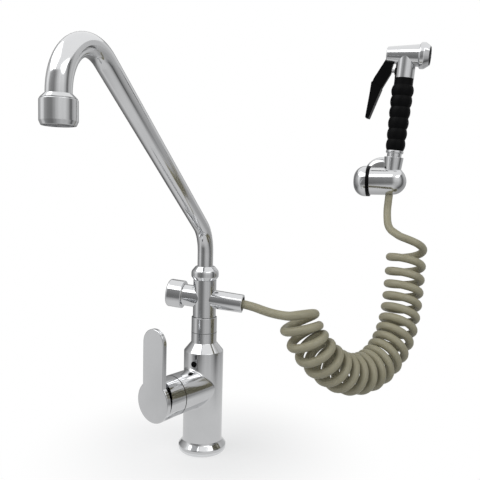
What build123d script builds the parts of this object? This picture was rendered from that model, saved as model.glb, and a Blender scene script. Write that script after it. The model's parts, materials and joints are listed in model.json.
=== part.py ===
from build123d import *
import math
import os

# Fits shared by all pieces
running_gap = 0.3
sliding_gap = 0.1
shaft_gap = 0.05

# Column
base_radius = 28.0
base_round = 5.0
base_rim = 8.0
base_rim_round = 2.0
base_height = 14.0
flare_round = 5.0
body_radius = 23.0
body_top = 120.0
shoulder_rise = 10.0
shoulder_round = 1.2
neck_radius = 14.8
neck_rise = 11.8
waterway_radius = 6.0
spigot_radius = 9.5
spigot_rise = 14.2
seal_groove_rise = 8.2
seal_section = 0.8
seal_groove_depth = 1.6

# Deck side of the column
gasket_inner = 18.5
gasket_outer = 22.0
gasket_depth = 2.0
stud_radius = 4.0
stud_depth = 22.0
stud_setback = 13.0
inlet_radius = 5.0
inlet_spread = 8.0

# Temperature mark on the column
index_angle = 266.0
index_drop = 12.0
index_radius = 3.5
index_depth = 3.0
index_proud = 0.7
index_round = 0.5

# Lever axis, with distances measured from the tilt pivot along the axis
lever_angle = 253.6
lever_height = 78.6
boss_inset = 0.6
boss_radius = body_radius - boss_inset
boss_blend = 3.0
seam_distance = 52.6
pivot_lead = 6.0
rim_chamfer = 0.8

# Cartridge
bore_radius = 17.5
housing_back = -33.0
housing_front = -19.5
cup_radius = 14.4
disc_seat = -23.0
disc_meet = -18.0
port_radius = 3.0
port_drop = 5.5
port_rise = 7.0
port_seal_radius = 5.0
port_seal_depth = 1.0
film_gap = 0.05
moving_disc_radius = 10.5
moving_disc_top = -14.5
driver_radius = 5.0
driver_top = -9.8
ball_radius = 2.4
ball_setback = 12.0
nut_step = -13.5
nut_lip = -12.0
nut_front = -8.0
nut_neck_radius = 15.0
lip_radius = 13.1
carrier_hole = 9.4
carrier_back = -14.3
ear_foot = -9.0
ear_inner = 3.8
ear_outer = 11.5
ear_half = 4.5
pin_radius = 1.5
stem_width = 7.0
stem_neck_radius = 1.5
stem_foot = -6.0
stem_front = 13.6

# Lever handle
barrel_front_radius = 23.0
barrel_wall = 2.9
cavity_end = 11.5
plate_back = 19.3
plate_thickness = 4.6
plate_width = 31.0
plate_rise = 79.6
plate_waist_round = 12.0
plate_edge = 1.0
notch_top = 12.6
notch_foot = -9.0
socket_start = 5.6
socket_end = 14.0
socket_radius = 7.5
grub_station = 8.6
grub_radius = 2.5
grub_pillar_radius = 4.2
grub_sink = 8.5

# Collar ring and tee
collar_rise = 17.9
collar_floor = 2.5
collar_edge = 0.5
skirt_radius = 12.0
skirt_drop = 13.7
spigot_head_room = 2.0
tee_angle = 9.0
tee_rise = 22.1
tee_tilt = 5.5
tee_radius = 13.4
tee_upper = 21.2
tee_waterway = 7.0
tee_neck_radius = 11.6
tee_neck_rise = 9.0
spout_bore_radius = 9.8
spout_bore_rise = 10.2
knob_boss_radius = 12.6
knob_boss_reach = 25.0
outlet_root_radius = 10.9
outlet_mouth_radius = 10.5
outlet_reach = 46.0
outlet_edge = 0.7
outlet_bore = 8.2
outlet_seat = 24.0
outlet_passage = 5.0

# Diverter
gland_radius = 9.0
gland_inner = 9.0
gland_flange_radius = 11.0
gland_flange = 2.2
spindle_radius = 4.0
spindle_head_radius = 6.5
spindle_head_end = 5.0
spindle_seal_at = 18.0
spindle_seal_section = 0.6
knob_radius = 16.2
knob_end = 43.8
knob_round = 2.5
knob_inner_round = 0.8
knob_recess_radius = 11.6
knob_recess_end = 32.0
knob_screw_head_radius = 4.3
knob_screw_head = 1.6
knob_screw_radius = 2.0
knob_skin = 4.0
spindle_outer = knob_end - knob_skin
knob_screw_depth = 6.0
knob_screw_end = spindle_outer - knob_screw_depth

# Hose outlet fittings
barb_radius = 3.2
barb_bore = 2.2
barb_end = 41.0
connector_thread_end = 12.0
connector_flange = 3.0
mouth_bush_start = 37.5
mouth_bush_end = 43.0

# Swivel spout
spout_angle = 274.7
spout_radius = 9.0
spout_wall = 1.0
spout_straight = 36.8
spout_bend = 38.0
spout_slope = 31.8
spout_reach = 296.0
hook_bend = 40.0
spout_drop = 85.5
tail_radius = 9.6
tail_foot_room = 1.0
tail_bore = 6.0
tail_flange_radius = 11.3
tail_flange = 2.0
tail_insert = 11.7
tail_seal_section = 0.75
tail_seal_rise = 5.5
tail_seal_spread = 7.0
tail_groove_depth = 1.35
nut_radius = 15.9
nut_foot_radius = 13.1
nut_flare = 3.9
nut_belly = 6.2
nut_low_round = 2.5
nut_high_round = 6.0
nut_top_radius = 11.0
nut_cap = 3.2
nut_top_round = 0.8
nut_headroom = 1.7

# Spout end, measured from the end of the tube
tip_top = 12.6
tip_neck_radius = 9.6
tip_collar_radius = 12.4
tip_collar_bottom = 9.4
tip_collar_top = 9.8
tip_thread_radius = 11.0
tip_bottom = -1.0
aerator_radius = 13.0
aerator_top = 9.1
aerator_taper_from = -5.2
aerator_bottom = -8.2
aerator_bottom_radius = 11.7
aerator_mouth = 9.8
aerator_edge = 0.6
insert_bottom = -6.6
insert_top = -2.5
insert_hole_radius = 1.15
insert_ring_inner = 3.6
insert_ring_outer = 7.2
insert_ring_count = 6
gasket_bore = 8.4

# Coiled hose
hose_radius = 5.0
hose_bore = 3.3
hose_plug_depth = 12.0
lead_start = 30.0
lead_straight = 52.0
lead_arrival = 14.0
curl_start_radius = 19.0
curl_growth = 1.3
curl_start_angle = 35.0
curl_end_angle = -48.0
curl_full_turns = 20
curl_opening = 0.052
curl_opening_power = 15
curl_facing_angle = -69.0
curl_steps_per_turn = 2
curl_straight = 10.0
gap_samples_per_turn = 24
gap_samples_skipped = 14
coil_axis_start = (111.0, 5.0, 172.0)
coil_axis_drop = (117.0, 3.0, 155.0)
coil_axis_left = (127.5, 5.5, 137.0)
coil_axis_left_low = (141.0, 17.0, 118.0)
coil_axis_belly_left = (156.0, 36.0, 102.0)
coil_axis_belly = (172.0, 59.0, 96.0)
coil_axis_belly_right = (187.0, 84.0, 100.0)
coil_axis_right_low = (200.0, 107.0, 117.0)
coil_axis_right = (207.0, 125.0, 139.0)
coil_axis_rise = (210.0, 140.0, 168.0)
coil_axis_high = (211.0, 153.0, 205.0)
coil_axis_end = (211.0, 167.0, 250.0)
tail_leave = 10.0
tail_turn = (182.5, 176.5, 284.0)
tail_entry_drop = 24.0
run_share = 0.45

# Wall bracket, measured from the centre of the holder's barrel
bracket_x = 171.0
bracket_y = 177.5
bracket_z = 325.0
wall_reach = 40.0
flange_x = -2.0
flange_z = 10.0
flange_radius = 24.0
flange_depth = 14.0
flange_round = 9.0
flange_recess_radius = 20.0
flange_recess = 6.0
plate_screw_spread = 22.0
plate_screw_radius = 2.5
plate_screw_head = 4.8
plate_screw_head_depth = 2.4
arm_radius = 8.4
arm_rise = 2.0
arm_bend = 10.0
arm_elbow_y = 29.5
arm_elbow_z = 5.0
arm_foot_y = 30.6
knuckle_radius = 20.3
knuckle_end = -33.5
knuckle_face = -16.1
knuckle_round = 15.5
knuckle_x = -25.0
ring_face = -12.4
ring_bore = 8.0
bolt_radius = 4.0
bolt_start = -30.0
bolt_head_radius = 6.4
bolt_head_start = -2.0
bolt_head_end = 2.0
bolt_chamber_radius = 6.8
bolt_chamber_start = -6.0
bolt_chamber_end = 3.0
washer_thickness = 1.5

# Hose and spray holder
holder_radius = 18.0
holder_left = -12.0
holder_dome_start = 17.7
holder_end = 35.0
holder_lean = 4.9
socket_offset = 14.8
collar_foot = 6.0
collar_foot_radius = 10.3
collar_head = 31.7
collar_head_radius = 12.4
collar_lip = 0.5
socket_mouth_radius = 10.5
socket_floor_radius = 7.7
socket_floor = 12.0
liner_wall = 0.9
holder_bore = 6.5
holder_bottom = -20.0
slot_half = 5.8
slot_top = 15.0
slot_shift = 1.5
liner_bottom = -17.0

# Hand spray, measured up its own leaning axis from the barrel's centre
nut_cone_bottom = 13.0
nut_cone_bottom_radius = 6.7
nut_cone_top = 32.5
nut_collar_radius = 9.35
nut_collar_top = 36.4
hose_entry_top = 20.0
nut_thread_radius = 7.0
nipple_flange_top = 23.0
nipple_bottom = 9.5
nipple_radius = 6.8
ferrule_top = 40.5
ferrule_radius = 11.2
ferrule_round = 1.2
ferrule_thread_bottom = 26.0
handle_bore = 4.0
tube_radius = 8.0
tube_bore = 5.0
grip_top = 133.1
grip_ribs = 6
grip_rib_pitch = 14.0
grip_low_radius = 12.4
grip_high_radius = 14.2
grip_valley = 1.8
grip_cuff_radius = 12.0
spray_neck_radius = 12.3
head_height = 162.6
head_back = -25.2
head_front = 15.5
head_back_radius = 10.4
head_front_radius = 14.0
head_edge = 1.5
head_bore = 9.0
head_bore_back = -4.0
bezel_wide = 22.0
bezel_front = 28.3
bezel_radius = 16.6
bezel_front_radius = 12.4
bezel_round = 3.0
face_radius = 11.5
face_back = 24.5
face_front = 29.0
face_round = 0.8
jet_radius = 0.9
jet_ring_inner = 4.5
jet_ring_outer = 9.0
jet_count_inner = 6
jet_count_outer = 12
spray_gasket_depth = 2.0
spray_gasket_bore = 8.0

# Trigger and valve
trigger_pivot_x = -19.5
trigger_pivot_h = 157.0
trigger_pin_radius = 1.6
trigger_half = 6.5
trigger_tongue_half = 3.2
trigger_pin_half = 7.0
slot_tongue_gap = 0.4
slot_head_room = 6.4
trigger_edge = 1.0
trigger_bend = 30.0
trigger_eye = 4.0
trigger_shoulder = (-40.5, 127.8)
trigger_mid_outer = (-41.0, 112.0)
trigger_tip_outer = (-43.0, 80.0)
trigger_tip_inner = (-38.4, 79.2)
trigger_mid_inner = (-26.5, 119.0)
valve_height = 142.0
valve_stem_radius = 2.2
valve_stem_end = -17.0
valve_head_radius = 3.8
valve_head_back = -4.0
valve_head_front = -2.0
valve_chamber_radius = 4.6
valve_chamber_end = 6.5
valve_guide_radius = 4.6
valve_guide_back = -12.8
valve_guide_front = -5.0
spring_wire = 0.4
spring_radius = 3.2
spring_turns = 5
spring_clear = 0.15


os.makedirs("parts", exist_ok=True)


# Small helpers for drawing
def half_section(plane, *points):
    """Half of a turned outline, as radius, height and corner round, beside the plane's own axis."""
    side = Plane(plane.origin, x_dir=plane.x_dir, z_dir=-plane.y_dir)
    rounds = [point[2] if len(point) > 2 else 0 for point in points]
    with BuildSketch(side) as half:
        with BuildLine():
            FilletPolyline([point[:2] for point in points], radius=rounds, close=True)
        make_face()
    return half.sketch


def ring_section(plane, radius, height, section):
    """Round section of a seal ring beside the plane's own axis."""
    side = Plane(plane.origin, x_dir=plane.x_dir, z_dir=-plane.y_dir)
    with BuildSketch(side) as ring:
        with Locations((radius, height)):
            Circle(section)
    return ring.sketch


def line_of(plane):
    """Axis through the plane's origin, square to it."""
    return Axis(plane.origin, plane.z_dir)


def heading(degrees):
    """Level direction at a plan angle."""
    return Vector(math.cos(math.radians(degrees)), math.sin(math.radians(degrees)), 0)


def corner_radii(points):
    """Bend radius at each inner corner of a route, from the shorter run beside it."""
    radii = []
    for before, corner, after in zip(points, points[1:], points[2:]):
        arriving = Vector(corner) - Vector(before)
        leaving = Vector(after) - Vector(corner)
        half_turn = math.radians(arriving.get_angle(leaving)) / 2
        radii.append(run_share * min(arriving.length, leaving.length) / math.tan(half_turn))
    return radii


def meeting_point(start, start_way, end, end_way):
    """Joint and direction where two arcs meet that keep both end directions."""
    chord = end - start
    ways = start_way + end_way
    bend = 2 * (1 - start_way.dot(end_way))
    along = chord.dot(ways)
    reach = (math.sqrt(along * along + bend * chord.dot(chord)) - along) / bend
    near = start + start_way * reach
    far = end - end_way * reach
    return (near + far) * 0.5, (far - near).normalized()


# Heights, each from the piece below it
shoulder_top = body_top + shoulder_rise
neck_top = shoulder_top + neck_rise
spigot_top = neck_top + spigot_rise
seal_groove_height = neck_top + seal_groove_rise
index_height = body_top - index_drop
collar_top = neck_top + collar_rise
skirt_bottom = collar_top - skirt_drop
spigot_socket_top = spigot_top + spigot_head_room
tee_height = collar_top + tee_rise
tee_top = tee_height + tee_upper
tee_neck_top = tee_top + tee_neck_rise
spout_bore_floor = tee_height + spout_bore_rise
tail_bottom = spout_bore_floor + tail_foot_room
tail_seal_low = spout_bore_floor + tail_seal_rise
tail_seal_high = tail_seal_low + tail_seal_spread
tail_flange_bottom = tee_neck_top + running_gap
tail_flange_top = tail_flange_bottom + tail_flange
tail_insert_top = tail_flange_top + tail_insert
nut_bottom = tee_top + running_gap
nut_wide_low = nut_bottom + nut_flare
nut_wide_high = nut_wide_low + nut_belly
nut_roof = tail_flange_top + nut_headroom
nut_top = nut_roof + nut_cap
spout_corner = nut_top + spout_straight
hook_corner = spout_corner + spout_reach * math.tan(math.radians(spout_slope))
spout_end = hook_corner - spout_drop

# Working planes
up = Vector(0, 0, 1)
column_plane = Plane.XY

lever_way = heading(lever_angle)
lever_plane = Plane((0, 0, lever_height), x_dir=up.cross(lever_way), z_dir=lever_way)
pivot_distance = seam_distance + pivot_lead
pivot_plane = lever_plane.offset(pivot_distance)
tilt_plane = Plane(pivot_plane.origin, x_dir=lever_way, z_dir=lever_way.cross(up))

index_way = heading(index_angle)
index_spot = index_way * body_radius + up * index_height
index_plane = Plane(index_spot, x_dir=up.cross(index_way), z_dir=index_way)

tee_level = heading(tee_angle)
tee_way = tee_level * math.cos(math.radians(tee_tilt)) - up * math.sin(math.radians(tee_tilt))
tee_plane = Plane((0, 0, tee_height), x_dir=up.cross(tee_level), z_dir=tee_way)

spout_way = heading(spout_angle)
spout_plane = Plane((0, 0, 0), x_dir=spout_way, z_dir=spout_way.cross(up))
tip_plane = Plane(spout_way * spout_reach + up * spout_end, z_dir=up)

bracket_centre = Vector(bracket_x, bracket_y, bracket_z)
barrel_plane = Plane(bracket_centre, x_dir=(0, 1, 0), z_dir=(1, 0, 0))
wall_plane = Plane(
    bracket_centre + Vector(flange_x, wall_reach, flange_z), x_dir=(1, 0, 0), z_dir=(0, -1, 0)
)
lean_way = Vector(math.sin(math.radians(holder_lean)), 0, math.cos(math.radians(holder_lean)))
face_way = Vector(math.cos(math.radians(holder_lean)), 0, -math.sin(math.radians(holder_lean)))
socket_plane = Plane(bracket_centre + Vector(socket_offset, 0, 0), x_dir=face_way, z_dir=lean_way)
spray_side = Plane(socket_plane.origin, x_dir=face_way, z_dir=(0, -1, 0))
head_plane = Plane(socket_plane.origin + lean_way * head_height, x_dir=(0, 1, 0), z_dir=face_way)
valve_plane = Plane(socket_plane.origin + lean_way * valve_height, x_dir=(0, 1, 0), z_dir=face_way)

# Mixer column with lever boss, cartridge seat and waterways
spigot_bore_radius = spigot_radius + sliding_gap
seat_radius = math.hypot(pivot_lead - rim_chamfer, boss_radius) + running_gap
cartridge_floor = pivot_distance + housing_back
port_places = [(-inlet_spread, -port_drop), (inlet_spread, -port_drop), (0, port_rise)]

with BuildPart() as mixer_body:
    revolve(
        half_section(
            column_plane,
            (0, 0),
            (base_radius, 0, base_round),
            (base_radius, base_rim, base_rim_round),
            (body_radius, base_height, flare_round),
            (body_radius, body_top, shoulder_round),
            (neck_radius, shoulder_top, shoulder_round),
            (neck_radius, neck_top),
            (spigot_radius, neck_top),
            (spigot_radius, spigot_top),
            (0, spigot_top),
        ),
        axis=Axis.Z,
    )
    with BuildSketch(lever_plane):
        Circle(boss_radius)
    extrude(amount=seam_distance)
    fillet(mixer_body.edges(Select.LAST).filter_by(GeomType.BSPLINE), boss_blend)
    with Locations(pivot_plane):
        Sphere(seat_radius, mode=Mode.SUBTRACT)
    with BuildSketch(lever_plane.offset(cartridge_floor)):
        Circle(bore_radius)
    extrude(amount=seam_distance, mode=Mode.SUBTRACT)
    with BuildSketch(lever_plane):
        with Locations(*port_places):
            Circle(port_radius)
    extrude(amount=cartridge_floor, mode=Mode.SUBTRACT)
    with BuildSketch(column_plane.offset(lever_height)):
        Circle(waterway_radius)
    extrude(amount=spigot_top - lever_height, mode=Mode.SUBTRACT)
    with BuildSketch(column_plane):
        for side in (-1, 1):
            inlet_place = lever_plane.x_dir * (side * inlet_spread)
            with Locations((inlet_place.X, inlet_place.Y)):
                Circle(inlet_radius)
    extrude(amount=lever_height - port_drop, mode=Mode.SUBTRACT)
    with BuildSketch(column_plane):
        stud_place = lever_way * -stud_setback
        with Locations((stud_place.X, stud_place.Y)):
            Circle(stud_radius)
    extrude(amount=stud_depth, mode=Mode.SUBTRACT)
    with BuildSketch(column_plane):
        Circle(gasket_outer)
        Circle(gasket_inner, mode=Mode.SUBTRACT)
    extrude(amount=gasket_depth, mode=Mode.SUBTRACT)
    with BuildSketch(index_plane.offset(-index_depth)):
        Circle(index_radius)
    extrude(amount=index_depth + body_radius, mode=Mode.SUBTRACT)
    revolve(
        half_section(
            column_plane.offset(seal_groove_height),
            (spigot_radius - seal_groove_depth, -seal_section - sliding_gap),
            (spigot_radius + running_gap, -seal_section - sliding_gap),
            (spigot_radius + running_gap, seal_section + sliding_gap),
            (spigot_radius - seal_groove_depth, seal_section + sliding_gap),
        ),
        axis=Axis.Z,
        mode=Mode.SUBTRACT,
    )
mixer_body.part.label = "mixer_body"
export_step(mixer_body.part, "parts/mixer_body.step")

with BuildPart() as base_gasket:
    with BuildSketch(column_plane):
        Circle(gasket_outer)
        Circle(gasket_inner, mode=Mode.SUBTRACT)
    extrude(amount=gasket_depth)
base_gasket.part.label = "base_gasket"
export_step(base_gasket.part, "parts/base_gasket.step")

with BuildPart() as index_plug:
    with BuildSketch(index_plane.offset(-index_depth)):
        Circle(index_radius)
    extrude(amount=index_depth + index_proud)
    fillet(index_plug.faces().sort_by(line_of(index_plane))[-1].edges(), index_round)
index_plug.part.label = "index_plug"
export_step(index_plug.part, "parts/index_plug.step")

# Ceramic cartridge behind the lever
housing_radius = bore_radius - sliding_gap
disc_radius = cup_radius - sliding_gap

with BuildPart() as cartridge_housing:
    revolve(
        half_section(
            pivot_plane,
            (0, housing_back),
            (housing_radius, housing_back),
            (housing_radius, housing_front),
            (cup_radius, housing_front),
            (cup_radius, disc_seat),
            (0, disc_seat),
        ),
        axis=line_of(pivot_plane),
    )
    with BuildSketch(pivot_plane.offset(housing_back)):
        with Locations(*port_places):
            Circle(port_radius)
    extrude(amount=disc_seat - housing_back, mode=Mode.SUBTRACT)
    with BuildSketch(pivot_plane.offset(housing_back)):
        with Locations(*port_places):
            Circle(port_seal_radius)
    extrude(amount=port_seal_depth, mode=Mode.SUBTRACT)
cartridge_housing.part.label = "cartridge_housing"
export_step(cartridge_housing.part, "parts/cartridge_housing.step")

with BuildPart() as cartridge_seals:
    with BuildSketch(pivot_plane.offset(housing_back)):
        with Locations(*port_places):
            Circle(port_seal_radius)
            Circle(port_radius, mode=Mode.SUBTRACT)
    extrude(amount=port_seal_depth)
cartridge_seals.part.label = "cartridge_seals"
export_step(cartridge_seals.part, "parts/cartridge_seals.step")

with BuildPart() as ceramic_disc_fixed:
    with BuildSketch(pivot_plane.offset(disc_seat)):
        Circle(disc_radius)
        with Locations(*port_places):
            Circle(port_radius, mode=Mode.SUBTRACT)
    extrude(amount=disc_meet - disc_seat)
ceramic_disc_fixed.part.label = "ceramic_disc_fixed"
export_step(ceramic_disc_fixed.part, "parts/ceramic_disc_fixed.step")

with BuildPart() as ceramic_disc_moving:
    revolve(
        half_section(
            pivot_plane,
            (0, disc_meet + film_gap),
            (moving_disc_radius, disc_meet + film_gap),
            (moving_disc_radius, moving_disc_top),
            (driver_radius, moving_disc_top),
            (driver_radius, driver_top),
            (0, driver_top),
        ),
        axis=line_of(pivot_plane),
    )
    with BuildSketch(pivot_plane.offset(-ball_setback - ball_radius - sliding_gap)):
        Circle(ball_radius + sliding_gap)
    extrude(amount=ball_setback, mode=Mode.SUBTRACT)
ceramic_disc_moving.part.label = "ceramic_disc_moving"
export_step(ceramic_disc_moving.part, "parts/ceramic_disc_moving.step")

with BuildPart() as cartridge_nut:
    revolve(
        half_section(
            pivot_plane,
            (cup_radius, housing_front),
            (housing_radius, housing_front),
            (housing_radius, nut_step),
            (nut_neck_radius, nut_step),
            (nut_neck_radius, nut_front),
            (lip_radius, nut_front),
            (lip_radius, nut_lip),
            (cup_radius, nut_lip),
        ),
        axis=line_of(pivot_plane),
    )
cartridge_nut.part.label = "cartridge_nut"
export_step(cartridge_nut.part, "parts/cartridge_nut.step")

with BuildPart() as cartridge_carrier:
    revolve(
        half_section(
            pivot_plane,
            (carrier_hole, carrier_back),
            (cup_radius - sliding_gap, carrier_back),
            (cup_radius - sliding_gap, nut_lip - sliding_gap),
            (lip_radius - sliding_gap, nut_lip - sliding_gap),
            (lip_radius - sliding_gap, nut_front),
            (carrier_hole, nut_front),
        ),
        axis=line_of(pivot_plane),
    )
    with BuildSketch(tilt_plane):
        with Locations((ear_foot / 2, 0)):
            Rectangle(-ear_foot, 2 * ear_half)
        Circle(ear_half)
    extrude(amount=ear_outer, both=True)
    with BuildSketch(tilt_plane):
        with Locations((0, 0)):
            Rectangle(-2 * ear_foot, 2 * cup_radius)
    extrude(amount=ear_inner, both=True, mode=Mode.SUBTRACT)
    with BuildSketch(tilt_plane):
        Circle(pin_radius)
    extrude(amount=cup_radius, both=True, mode=Mode.SUBTRACT)
cartridge_carrier.part.label = "cartridge_carrier"
export_step(cartridge_carrier.part, "parts/cartridge_carrier.step")

with BuildPart() as stem_pin:
    with BuildSketch(tilt_plane):
        Circle(pin_radius)
    extrude(amount=ear_outer, both=True)
stem_pin.part.label = "stem_pin"
export_step(stem_pin.part, "parts/stem_pin.step")

with BuildPart() as lever_stem:
    with BuildSketch(pivot_plane.offset(stem_foot)):
        Rectangle(stem_width, stem_width)
    extrude(amount=stem_front - stem_foot)
    with BuildSketch(pivot_plane.offset(-ball_setback)):
        Circle(stem_neck_radius)
    extrude(amount=ball_setback + stem_foot)
    with Locations(pivot_plane.offset(-ball_setback)):
        Sphere(ball_radius)
    with BuildSketch(tilt_plane):
        Circle(pin_radius + shaft_gap)
    extrude(amount=stem_width, both=True, mode=Mode.SUBTRACT)
lever_stem.part.label = "lever_stem"
export_step(lever_stem.part, "parts/lever_stem.step")

# Lever handle with upright plate
grub_plane = Plane(pivot_plane.origin + lever_way * grub_station, x_dir=lever_way, z_dir=up)
barrel_inner = boss_radius - barrel_wall
plate_straight = plate_rise - plate_width / 2

with BuildPart() as lever_handle:
    revolve(
        half_section(
            pivot_plane,
            (0, cavity_end),
            (barrel_inner, cavity_end),
            (barrel_inner, -pivot_lead),
            (boss_radius - rim_chamfer, -pivot_lead),
            (boss_radius, rim_chamfer - pivot_lead),
            (barrel_front_radius, plate_back),
            (0, plate_back),
        ),
        axis=line_of(pivot_plane),
    )
    with BuildSketch(tilt_plane):
        with BuildLine():
            Polyline(
                (plate_back, barrel_front_radius + rim_chamfer),
                (notch_top, barrel_front_radius + rim_chamfer),
                (plate_back, notch_foot),
                close=True,
            )
        make_face()
    extrude(amount=barrel_front_radius + rim_chamfer, both=True, mode=Mode.SUBTRACT)
    with BuildSketch(pivot_plane.offset(plate_back)) as plate_outline:
        Circle(barrel_front_radius)
        with Locations((0, plate_straight / 2)):
            Rectangle(plate_width, plate_straight)
        with Locations((0, plate_straight)):
            Circle(plate_width / 2)
        waist_top = lever_height + boss_radius
        waist = plate_outline.vertices().filter_by_position(Axis.Z, lever_height, waist_top)
        fillet(waist, plate_waist_round)
    extrude(amount=plate_thickness)
    fillet(lever_handle.faces().sort_by(line_of(pivot_plane))[-1].edges(), plate_edge)
    with BuildSketch(pivot_plane.offset(socket_start)):
        Circle(socket_radius)
    extrude(amount=cavity_end - socket_start)
    with BuildSketch(grub_plane):
        Circle(grub_pillar_radius)
    extrude(amount=barrel_inner + rim_chamfer)
    with BuildSketch(pivot_plane.offset(socket_start - grub_pillar_radius)):
        Rectangle(stem_width, stem_width)
    extrude(amount=socket_end - socket_start + grub_pillar_radius, mode=Mode.SUBTRACT)
    with BuildSketch(grub_plane):
        Circle(grub_radius)
    extrude(amount=barrel_front_radius + rim_chamfer, mode=Mode.SUBTRACT)
lever_handle.part.label = "lever_handle"
export_step(lever_handle.part, "parts/lever_handle.step")

with BuildPart() as lever_grub_screw:
    with BuildSketch(grub_plane.offset(stem_width / 2)):
        Circle(grub_radius)
    extrude(amount=boss_radius - grub_sink - stem_width / 2)
lever_grub_screw.part.label = "lever_grub_screw"
export_step(lever_grub_screw.part, "parts/lever_grub_screw.step")

# Collar ring between column and tee
with BuildPart() as neck_collar:
    revolve(
        half_section(
            column_plane,
            (spigot_bore_radius, neck_top),
            (neck_radius, neck_top, collar_edge),
            (neck_radius, collar_top, collar_edge),
            (skirt_radius, collar_top),
            (skirt_radius, neck_top + collar_floor),
            (spigot_bore_radius, neck_top + collar_floor),
        ),
        axis=Axis.Z,
    )
neck_collar.part.label = "neck_collar"
export_step(neck_collar.part, "parts/neck_collar.step")

with BuildPart() as collar_seal:
    seal_centre = spigot_bore_radius - seal_section
    revolve(ring_section(column_plane, seal_centre, seal_groove_height, seal_section), axis=Axis.Z)
collar_seal.part.label = "collar_seal"
export_step(collar_seal.part, "parts/collar_seal.step")

# Tee with diverter boss and hose outlet
with BuildPart() as tee_body:
    revolve(
        half_section(
            column_plane,
            (0, skirt_bottom),
            (skirt_radius, skirt_bottom),
            (skirt_radius, collar_top),
            (tee_radius, collar_top),
            (tee_radius, tee_top),
            (tee_neck_radius, tee_top),
            (tee_neck_radius, tee_neck_top),
            (0, tee_neck_top),
        ),
        axis=Axis.Z,
    )
    revolve(
        half_section(
            tee_plane,
            (0, -knob_boss_reach),
            (knob_boss_radius, -knob_boss_reach),
            (knob_boss_radius, 0),
            (outlet_root_radius, 0),
            (outlet_mouth_radius, outlet_reach, outlet_edge),
            (outlet_bore, outlet_reach),
            (outlet_bore, outlet_seat),
            (0, outlet_seat),
        ),
        axis=line_of(tee_plane),
    )
    with BuildSketch(column_plane.offset(skirt_bottom)):
        Circle(spigot_bore_radius)
    extrude(amount=spigot_socket_top - skirt_bottom, mode=Mode.SUBTRACT)
    with BuildSketch(column_plane.offset(skirt_bottom)):
        Circle(tee_waterway)
    extrude(amount=spout_bore_floor - skirt_bottom, mode=Mode.SUBTRACT)
    with BuildSketch(column_plane.offset(spout_bore_floor)):
        Circle(spout_bore_radius)
    extrude(amount=tee_neck_top - spout_bore_floor, mode=Mode.SUBTRACT)
    with BuildSketch(tee_plane.offset(-knob_boss_reach)):
        Circle(gland_radius)
    extrude(amount=knob_boss_reach - spindle_head_end + sliding_gap, mode=Mode.SUBTRACT)
    with BuildSketch(tee_plane):
        Circle(outlet_passage)
    extrude(amount=outlet_seat, mode=Mode.SUBTRACT)
tee_body.part.label = "tee_body"
export_step(tee_body.part, "parts/tee_body.step")

with BuildPart() as diverter_gland:
    revolve(
        half_section(
            tee_plane,
            (spindle_radius + shaft_gap, -knob_boss_reach - gland_flange),
            (gland_flange_radius, -knob_boss_reach - gland_flange),
            (gland_flange_radius, -knob_boss_reach),
            (gland_radius, -knob_boss_reach),
            (gland_radius, -gland_inner),
            (spindle_radius + shaft_gap, -gland_inner),
        ),
        axis=line_of(tee_plane),
    )
diverter_gland.part.label = "diverter_gland"
export_step(diverter_gland.part, "parts/diverter_gland.step")

spindle_groove_radius = spindle_radius - 2 * spindle_seal_section

with BuildPart() as diverter_spindle:
    revolve(
        half_section(
            tee_plane,
            (0, -knob_screw_end),
            (knob_screw_radius, -knob_screw_end),
            (knob_screw_radius, -spindle_outer),
            (spindle_radius, -spindle_outer),
            (spindle_radius, -spindle_seal_at - spindle_seal_section),
            (spindle_groove_radius, -spindle_seal_at - spindle_seal_section),
            (spindle_groove_radius, -spindle_seal_at + spindle_seal_section),
            (spindle_radius, -spindle_seal_at + spindle_seal_section),
            (spindle_radius, running_gap - gland_inner),
            (spindle_head_radius, running_gap - gland_inner),
            (spindle_head_radius, -spindle_head_end),
            (0, -spindle_head_end),
        ),
        axis=line_of(tee_plane),
    )
diverter_spindle.part.label = "diverter_spindle"
export_step(diverter_spindle.part, "parts/diverter_spindle.step")

with BuildPart() as diverter_seal:
    spindle_seal_centre = spindle_radius - spindle_seal_section
    revolve(
        ring_section(tee_plane, spindle_seal_centre, -spindle_seal_at, spindle_seal_section),
        axis=line_of(tee_plane),
    )
diverter_seal.part.label = "diverter_seal"
export_step(diverter_seal.part, "parts/diverter_seal.step")

knob_start = knob_boss_reach + running_gap
knob_screw_seat = spindle_outer + knob_screw_head

with BuildPart() as diverter_knob:
    revolve(
        half_section(
            tee_plane,
            (knob_recess_radius, -knob_start),
            (knob_radius, -knob_start, knob_inner_round),
            (knob_radius, -knob_end, knob_round),
            (knob_screw_head_radius, -knob_end),
            (knob_screw_head_radius, -knob_screw_seat),
            (knob_screw_radius, -knob_screw_seat),
            (knob_screw_radius, -spindle_outer),
            (spindle_radius, -spindle_outer),
            (spindle_radius, -knob_recess_end),
            (knob_recess_radius, -knob_recess_end),
        ),
        axis=line_of(tee_plane),
    )
diverter_knob.part.label = "diverter_knob"
export_step(diverter_knob.part, "parts/diverter_knob.step")

with BuildPart() as knob_screw:
    revolve(
        half_section(
            tee_plane,
            (0, -knob_screw_end),
            (knob_screw_radius, -knob_screw_end),
            (knob_screw_radius, -knob_screw_seat),
            (knob_screw_head_radius, -knob_screw_seat),
            (knob_screw_head_radius, -knob_screw_seat - knob_screw_head),
            (0, -knob_screw_seat - knob_screw_head),
        ),
        axis=line_of(tee_plane),
    )
knob_screw.part.label = "knob_screw"
export_step(knob_screw.part, "parts/knob_screw.step")

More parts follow.
